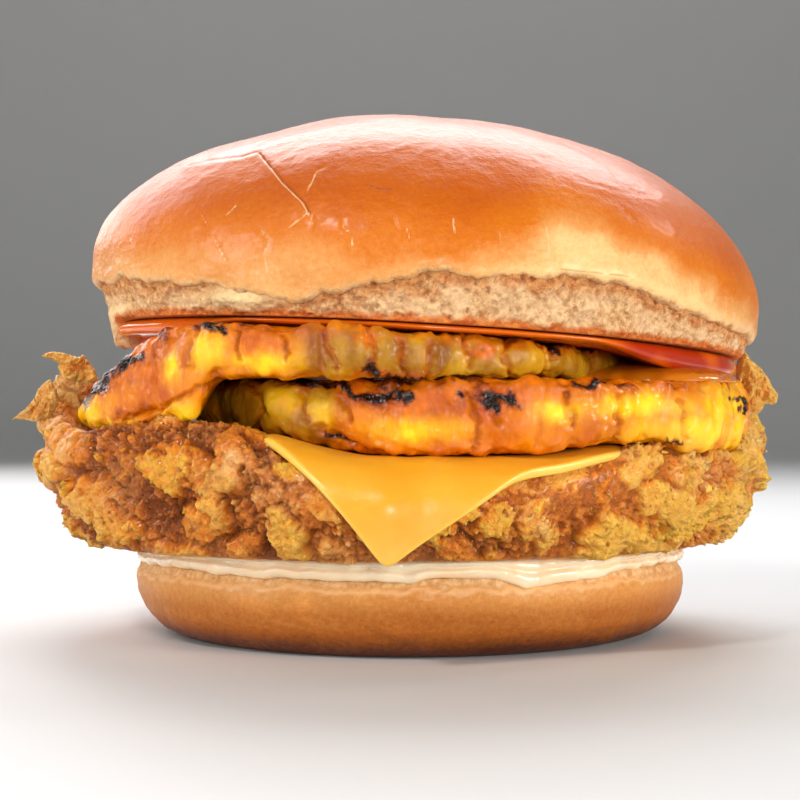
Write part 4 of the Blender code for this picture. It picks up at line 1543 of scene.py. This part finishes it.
@dataclass
class LowerSlice(PineappleSlice):
    """The slice on the cheese."""

    centre: tuple = (11.6, -9.0)
    phase: float = 0.6
    seed: int = 60
    olive_from: float = 352
    olive_to: float = 322
    chars: tuple = (
        Mark(4.5, ((253, 373), (272, 376), (292, 379), (315, 383))),
        Mark(3.0, ((315, 383), (345, 386), (352, 392))),
        Mark(4.5, ((352, 396), (374, 398), (392, 394), (410, 400))),
        Mark(6.5, ((484, 392), (490, 402), (496, 408))),
        Mark(5.0, ((490, 398), (506, 398), (514, 404))),
        Mark(4.0, ((576, 384), (590, 386), (604, 381))),
        Mark(2.4, ((668, 443), (686, 442))),
        Mark(3.2, ((734, 397), (742, 402), (741, 412))),
        Mark(3.0, ((324, 432), (338, 440), (350, 446))),
        Mark(2.2, ((455, 392), (462, 397))),
    )
    # Spots of yellow flesh and of painted glints, in pixels.
    yellows_and_glints: tuple = (
        (700, 432, 60, 18), (640, 405, 60, 12), (722, 405, 20, 30), (285, 402, 22, 14), (322, 412, 16, 12),
        (560, 412, 24, 10), (420, 430, 50, 12),
    )
    caramels: tuple = (
        Mark(8.0, ((345, 396), (400, 408), (460, 404))),
        Mark(9.0, ((462, 396), (520, 400))),
        Mark(7.0, ((560, 386), (620, 382))),
        Mark(10.0, ((206, 395), (212, 415))),
        Mark(6.0, ((335, 434), (352, 446))),
    )
    grooves: tuple = (
        Mark(3.4, ((252, 385), (262, 405), (258, 425))),
        Mark(3.0, ((300, 392), (306, 420))),
        Mark(5.0, ((318, 428), (336, 434), (352, 450))),
        Mark(3.0, ((344, 398), (352, 420))),
        Mark(3.4, ((470, 392), (480, 420), (474, 448))),
        Mark(5.0, ((496, 404), (500, 425))),
        Mark(3.0, ((566, 392), (574, 425))),
        Mark(3.4, ((622, 392), (616, 440))),
        Mark(3.0, ((682, 400), (690, 440))),
    )

    def faces(self, x: Array, y: Array) -> tuple[Array, Array]:
        """From just over the cheese to just under the join."""
        return STACK.fillet_top(x) + 2.3, np.full_like(x, STACK.join - 0.15)


@dataclass
class UpperSlice(PineappleSlice):
    """The slice under the crown, whose left side sags past the lower one."""

    centre: tuple = (-7.4, -9.5)
    phase: float = 1.9
    seed: int = 90
    radius: float = 44.6
    olive_from: float = 268
    olive_to: float = 330
    sag_places: tuple = (-53.0, -51.0, -50.0, -48.0, -46.5, -45.0, -42.0, -39.5, -35.0, -30.0)
    sags: tuple = (14.5, 13.2, 12.4, 12.0, 9.6, 8.0, 6.4, 3.4, 1.2, 0.0)
    thinnest: float = 4.4
    lower_reach: float = 45.5
    chars: tuple = (
        Mark(5.0, ((104, 382), (112, 372), (124, 364), (138, 356))),
        Mark(4.0, ((82, 404), (90, 398), (100, 388))),
        Mark(4.5, ((198, 321), (210, 324), (222, 328))),
        Mark(3.0, ((228, 317), (244, 322))),
        Mark(6.0, ((366, 366), (378, 372))),
        Mark(4.5, ((545, 338), (556, 346), (562, 352))),
        Mark(2.4, ((440, 318), (470, 322))),
        Mark(3.0, ((390, 374), (420, 380))),
    )
    # Spots of yellow flesh and of painted glints, in pixels.
    yellows_and_glints: tuple = (
        (206, 350, 14, 18), (84, 416, 14, 24), (112, 428, 26, 7), (262, 362, 34, 8), (180, 412, 22, 8),
        (172, 366, 8, 14),
    )
    caramels: tuple = (
        Mark(12.0, ((110, 384), (140, 372), (160, 350))),
        Mark(7.0, ((120, 414), (150, 408))),
        Mark(8.0, ((240, 325), (300, 328))),
        Mark(7.0, ((470, 352), (492, 350))),
        Mark(6.0, ((355, 372), (430, 380))),
    )
    grooves: tuple = (
        Mark(3.4, ((190, 345), (188, 366))),
        Mark(2.6, ((125, 419), (150, 412), (175, 402), (195, 392), (213, 383))),
        Mark(3.0, ((236, 330), (240, 360))),
        Mark(3.0, ((282, 335), (288, 358))),
        Mark(3.2, ((322, 328), (332, 350), (336, 372))),
        Mark(4.6, ((364, 332), (372, 352), (372, 372))),
        Mark(3.2, ((400, 340), (404, 372))),
        Mark(3.2, ((432, 345), (424, 375))),
        Mark(3.0, ((466, 340), (470, 370))),
        Mark(3.2, ((505, 340), (508, 374))),
        Mark(4.0, ((545, 335), (556, 360))),
        Mark(3.0, ((590, 345), (596, 368))),
    )

    def faces(self, x: Array, y: Array) -> tuple[Array, Array]:
        """From just over the join to just under the glaze, both sagging at the left.

        The underside also drops in front, where it is clear of the lower slice. The top falls by the listed
        sags, and keeps a least thickness.
        """
        middle_x, middle_y = LowerSlice.centre
        clear = np.hypot(x - middle_x, y - middle_y) - self.lower_reach
        front = smooth(-26.5, -30.5, x) * smooth(1.0, 5.0, clear) * smooth(0, -10, y)
        drop = np.maximum(front, smooth(-31.5, -39.0, x))
        low = STACK.join - (7.5 - 1.5 * smooth(-42, -31, x)) * drop + 0.15
        top = np.minimum(STACK.crown_seat(x, y) - 1.4, STACK.join + 9.0)
        top = top - np.interp(x, self.sag_places, self.sags)
        return low, np.maximum(top, low + self.thinnest)


@dataclass
class Glaze(Piece):
    """The red glaze under the crown."""

    radius: float = 51.4

    def form(self) -> tuple[Array, dict[str, Array]]:
        """A thin slab on the crown's cut face, thick at the right where it hangs."""
        grid = Sheet.slab((40, 40, 6), 620, 0.035)
        ring = 50 * grid.out()
        outline = self.radius + waves(grid.angle, (0.5, 4, 0.2), (0.3, 7, 1.1)) + 0.4 * Noise(71).at(ring, 12)
        x = STACK.seat_x + grid.share * outline * np.cos(grid.angle)
        y = grid.share * outline * np.sin(grid.angle)
        top = STACK.crown_seat(x, y) - 0.1
        sway = Noise(72).fractal(np.stack([x, y, 0 * x], -1), 16, 1)
        drip = 2.8 * smooth(28, 44, x) * smooth(20, -5, y) * (1 + 0.25 * sway)
        left = smooth(-24, -34, x)
        thick = 0.9 + 0.25 * sway + drip + 1.6 * left
        points = np.stack([x, y, top - thick * (1 - grid.level)], -1)
        wet = smooth(0.93, 0.97, grid.share)
        return points, {"thick": smooth(0.6, 2.6, thick) * (1 - 0.85 * left), "wet": wet}


@dataclass
class Puddle(Piece):
    """Amber sauce that fills the gap between the lower slice and the glaze at the right."""

    middle: tuple = (37.0, -22.0)
    half: tuple = (16.0, 15.0)
    height: float = 3.6

    def form(self) -> tuple[Array, dict[str, Array]]:
        """A low oval mound with a wavy outline: its height falls by the square of the share."""
        grid = Sheet.slab((10, 24, 30), 300, 0.10)
        outline = 1 + 0.08 * Noise(81).fractal(3 * grid.out(), 2, 3)
        x = self.middle[0] + self.half[0] * grid.share * outline * np.cos(grid.angle)
        y = self.middle[1] + self.half[1] * grid.share * outline * np.sin(grid.angle)
        mound = 0.9 + (self.height - 0.9) * (1 - grid.share**2) ** 0.7
        z = STACK.join - 0.6 + mound * grid.level
        return np.stack([x, y, z], -1), {"thick": smooth(0.9, 0.4, grid.share), "wet": 1 + 0 * z}


@dataclass(frozen=True)
class Lamp:
    """A soft rectangular light, in metres and watts."""

    name: str
    place: tuple
    aim: tuple
    width: float
    depth: float
    watts: float
    colour: tuple = (1.0, 0.97, 0.94)

    def build(self) -> None:
        """Adds the light, turned to its aim."""
        lamp = bpy.data.lights.new(self.name, "AREA")
        lamp.shape = "RECTANGLE"
        lamp.size, lamp.size_y = self.width, self.depth
        lamp.energy, lamp.color = self.watts, self.colour
        made = bpy.data.objects.new(self.name, lamp)
        made.location = self.place
        way = Vector(self.aim) - Vector(self.place)
        made.rotation_euler = way.to_track_quat("-Z", "Y").to_euler()
        bpy.context.scene.collection.objects.link(made)


@dataclass(frozen=True)
class Studio:
    """A pale seamless floor, soft light and the camera."""

    lens: float = 85.0
    world: float = 0.20
    lamps: tuple = (
        Lamp("key", (-0.24, -0.42, 0.42), (0.0, 0.0, 0.04), 0.07, 0.07, 1.35),
        Lamp("front", (0.10, -0.70, 0.12), (0.0, 0.0, 0.04), 0.08, 0.08, 1.3),
        Lamp("left", (-0.52, -0.26, 0.13), (0.0, 0.0, 0.04), 0.20, 0.20, 1.45),
        Lamp("right", (0.48, -0.34, 0.13), (0.0, 0.0, 0.04), 0.20, 0.20, 2.2),
        Lamp("back", (0.04, 0.42, 0.52), (0.0, 0.0, 0.06), 0.60, 0.35, 4.4, (0.96, 0.97, 1.0)),
        Lamp("haze", (-0.42, 0.46, 0.36), (0.0, 0.0, 0.06), 0.60, 0.45, 3.0, (1.0, 0.94, 0.95)),
        Lamp("spot", (0.46, 0.19, 0.42), (0.03, 0.0, 0.06), 0.09, 0.09, 0.35),
    )

    def build(self) -> None:
        """Builds the floor, the lamps, the world and the camera."""
        self.floor()
        for lamp in self.lamps:
            lamp.build()
        world = bpy.data.worlds.new("studio")
        world.use_nodes = True
        world.node_tree.nodes["Background"].inputs["Color"].default_value = (0.95, 0.97, 1.0, 1.0)
        world.node_tree.nodes["Background"].inputs["Strength"].default_value = self.world
        bpy.context.scene.world = world
        camera = bpy.data.cameras.new("camera")
        camera.lens = self.lens
        camera.sensor_width = 36.0
        camera.clip_start = 0.01
        made = bpy.data.objects.new("camera", camera)
        made.location = (0, -SIGHT.distance * METRES, SIGHT.height * METRES)
        made.rotation_euler = (math.pi / 2, 0, 0)
        bpy.context.scene.collection.objects.link(made)
        bpy.context.scene.camera = made
        bpy.context.scene.view_settings.view_transform = "Standard"

    def floor(self) -> None:
        """A floor that curves up into a backdrop: straight, a quarter circle, straight."""
        turn = np.linspace(0, np.pi / 2, 24)
        run = np.concatenate([[-1500], 900 + 400 * np.sin(turn), [1300]])
        rise = np.concatenate([[0], 400 * (1 - np.cos(turn)), [2200]])
        across = np.linspace(-2200, 2200, 9)
        y, x = np.meshgrid(run, across, indexing="ij")
        z = np.repeat(rise[:, None], 9, axis=1)
        points = np.stack([x, y, z], -1).reshape(-1, 3)
        first = (np.arange(len(run) - 1)[:, None] * 9 + np.arange(8)).ravel()
        corners = np.stack([first, first + 1, first + 10, first + 9], -1)
        made = add_mesh("floor", points, corners.ravel(), np.full(len(corners), 4), {})
        graph = Graph("floor_paint")
        paint = graph.blend(graph.noise(40, 3), (0.60, 0.60, 0.59), (0.62, 0.62, 0.61))
        graph.set(Base_Color=paint, Roughness=0.6)
        made.data.materials.append(graph.material)


def main() -> None:
    """Builds the studio and every piece of the burger, from the bottom up."""
    logging.basicConfig(level=logging.INFO, format="%(name)s: %(message)s")
    Studio().build()
    fried = FriedCoating()
    # The heel's darkest brown also carries the painted shade at its bottom.
    heel_crust = BunCrust(
        "heel_crust",
        cream=(0.76, 0.40, 0.12),
        pale=(0.60, 0.24, 0.048),
        amber=(0.38, 0.105, 0.010),
        brown=(0.10, 0.018, 0.002),
        gloss=0.42,
        coat=0.10,
        rough_crumb=0.2,
    )
    amber = StickySauce("amber_sauce", thin=(0.55, 0.15, 0.003), thick=(0.38, 0.075, 0.002))
    red = StickySauce("red_sauce", thin=(0.76, 0.15, 0.003), thick=(0.40, 0.026, 0.002))
    chips = dict(count=150, smallest=0.5, largest=1.0, seed=6)
    crumbs = dict(count=900, smallest=0.2, largest=0.7, seed=7)
    pieces = [
        Heel("heel_bread", "bun_heel", Slot.HEEL, heel_crust),
        Cream("cream_bead", "cream_sauce", Slot.CREAM, CreamSauce()),
        Fillet("fillet_body", "chicken_fillet", Slot.BREADING, fried),
        Rim("fillet_flakes", "chicken_fillet", Slot.BREADING, fried),
        Crumbs("fillet_chips", "chicken_fillet", Slot.BREADING, fried, **chips),
        Crumbs("fillet_crumbs", "chicken_fillet", Slot.BREADING, fried, **crumbs),
        Cheese("cheese_melt", "cheese_slice", Slot.CHEESE, MeltedCheese()),
        LowerSlice("fruit_lower", "pineapple_lower", Slot.PINEAPPLE, GrilledPineapple("grilled_lower")),
        UpperSlice("fruit_upper", "pineapple_upper", Slot.PINEAPPLE, GrilledPineapple("grilled_upper")),
        Puddle("amber_puddle", "red_glaze", Slot.GLAZE, amber),
        Glaze("red_layer", "red_glaze", Slot.GLAZE, red),
        CrownCrumb("crown_crumb", "bun_crown", Slot.CROWN, BreadCrumb()),
        CrownSkin("crown_skin", "bun_crown", Slot.CROWN, BunCrust("crown_crust")),
    ]
    for piece in pieces:
        piece.build()


if __name__ == "__main__":
    main()
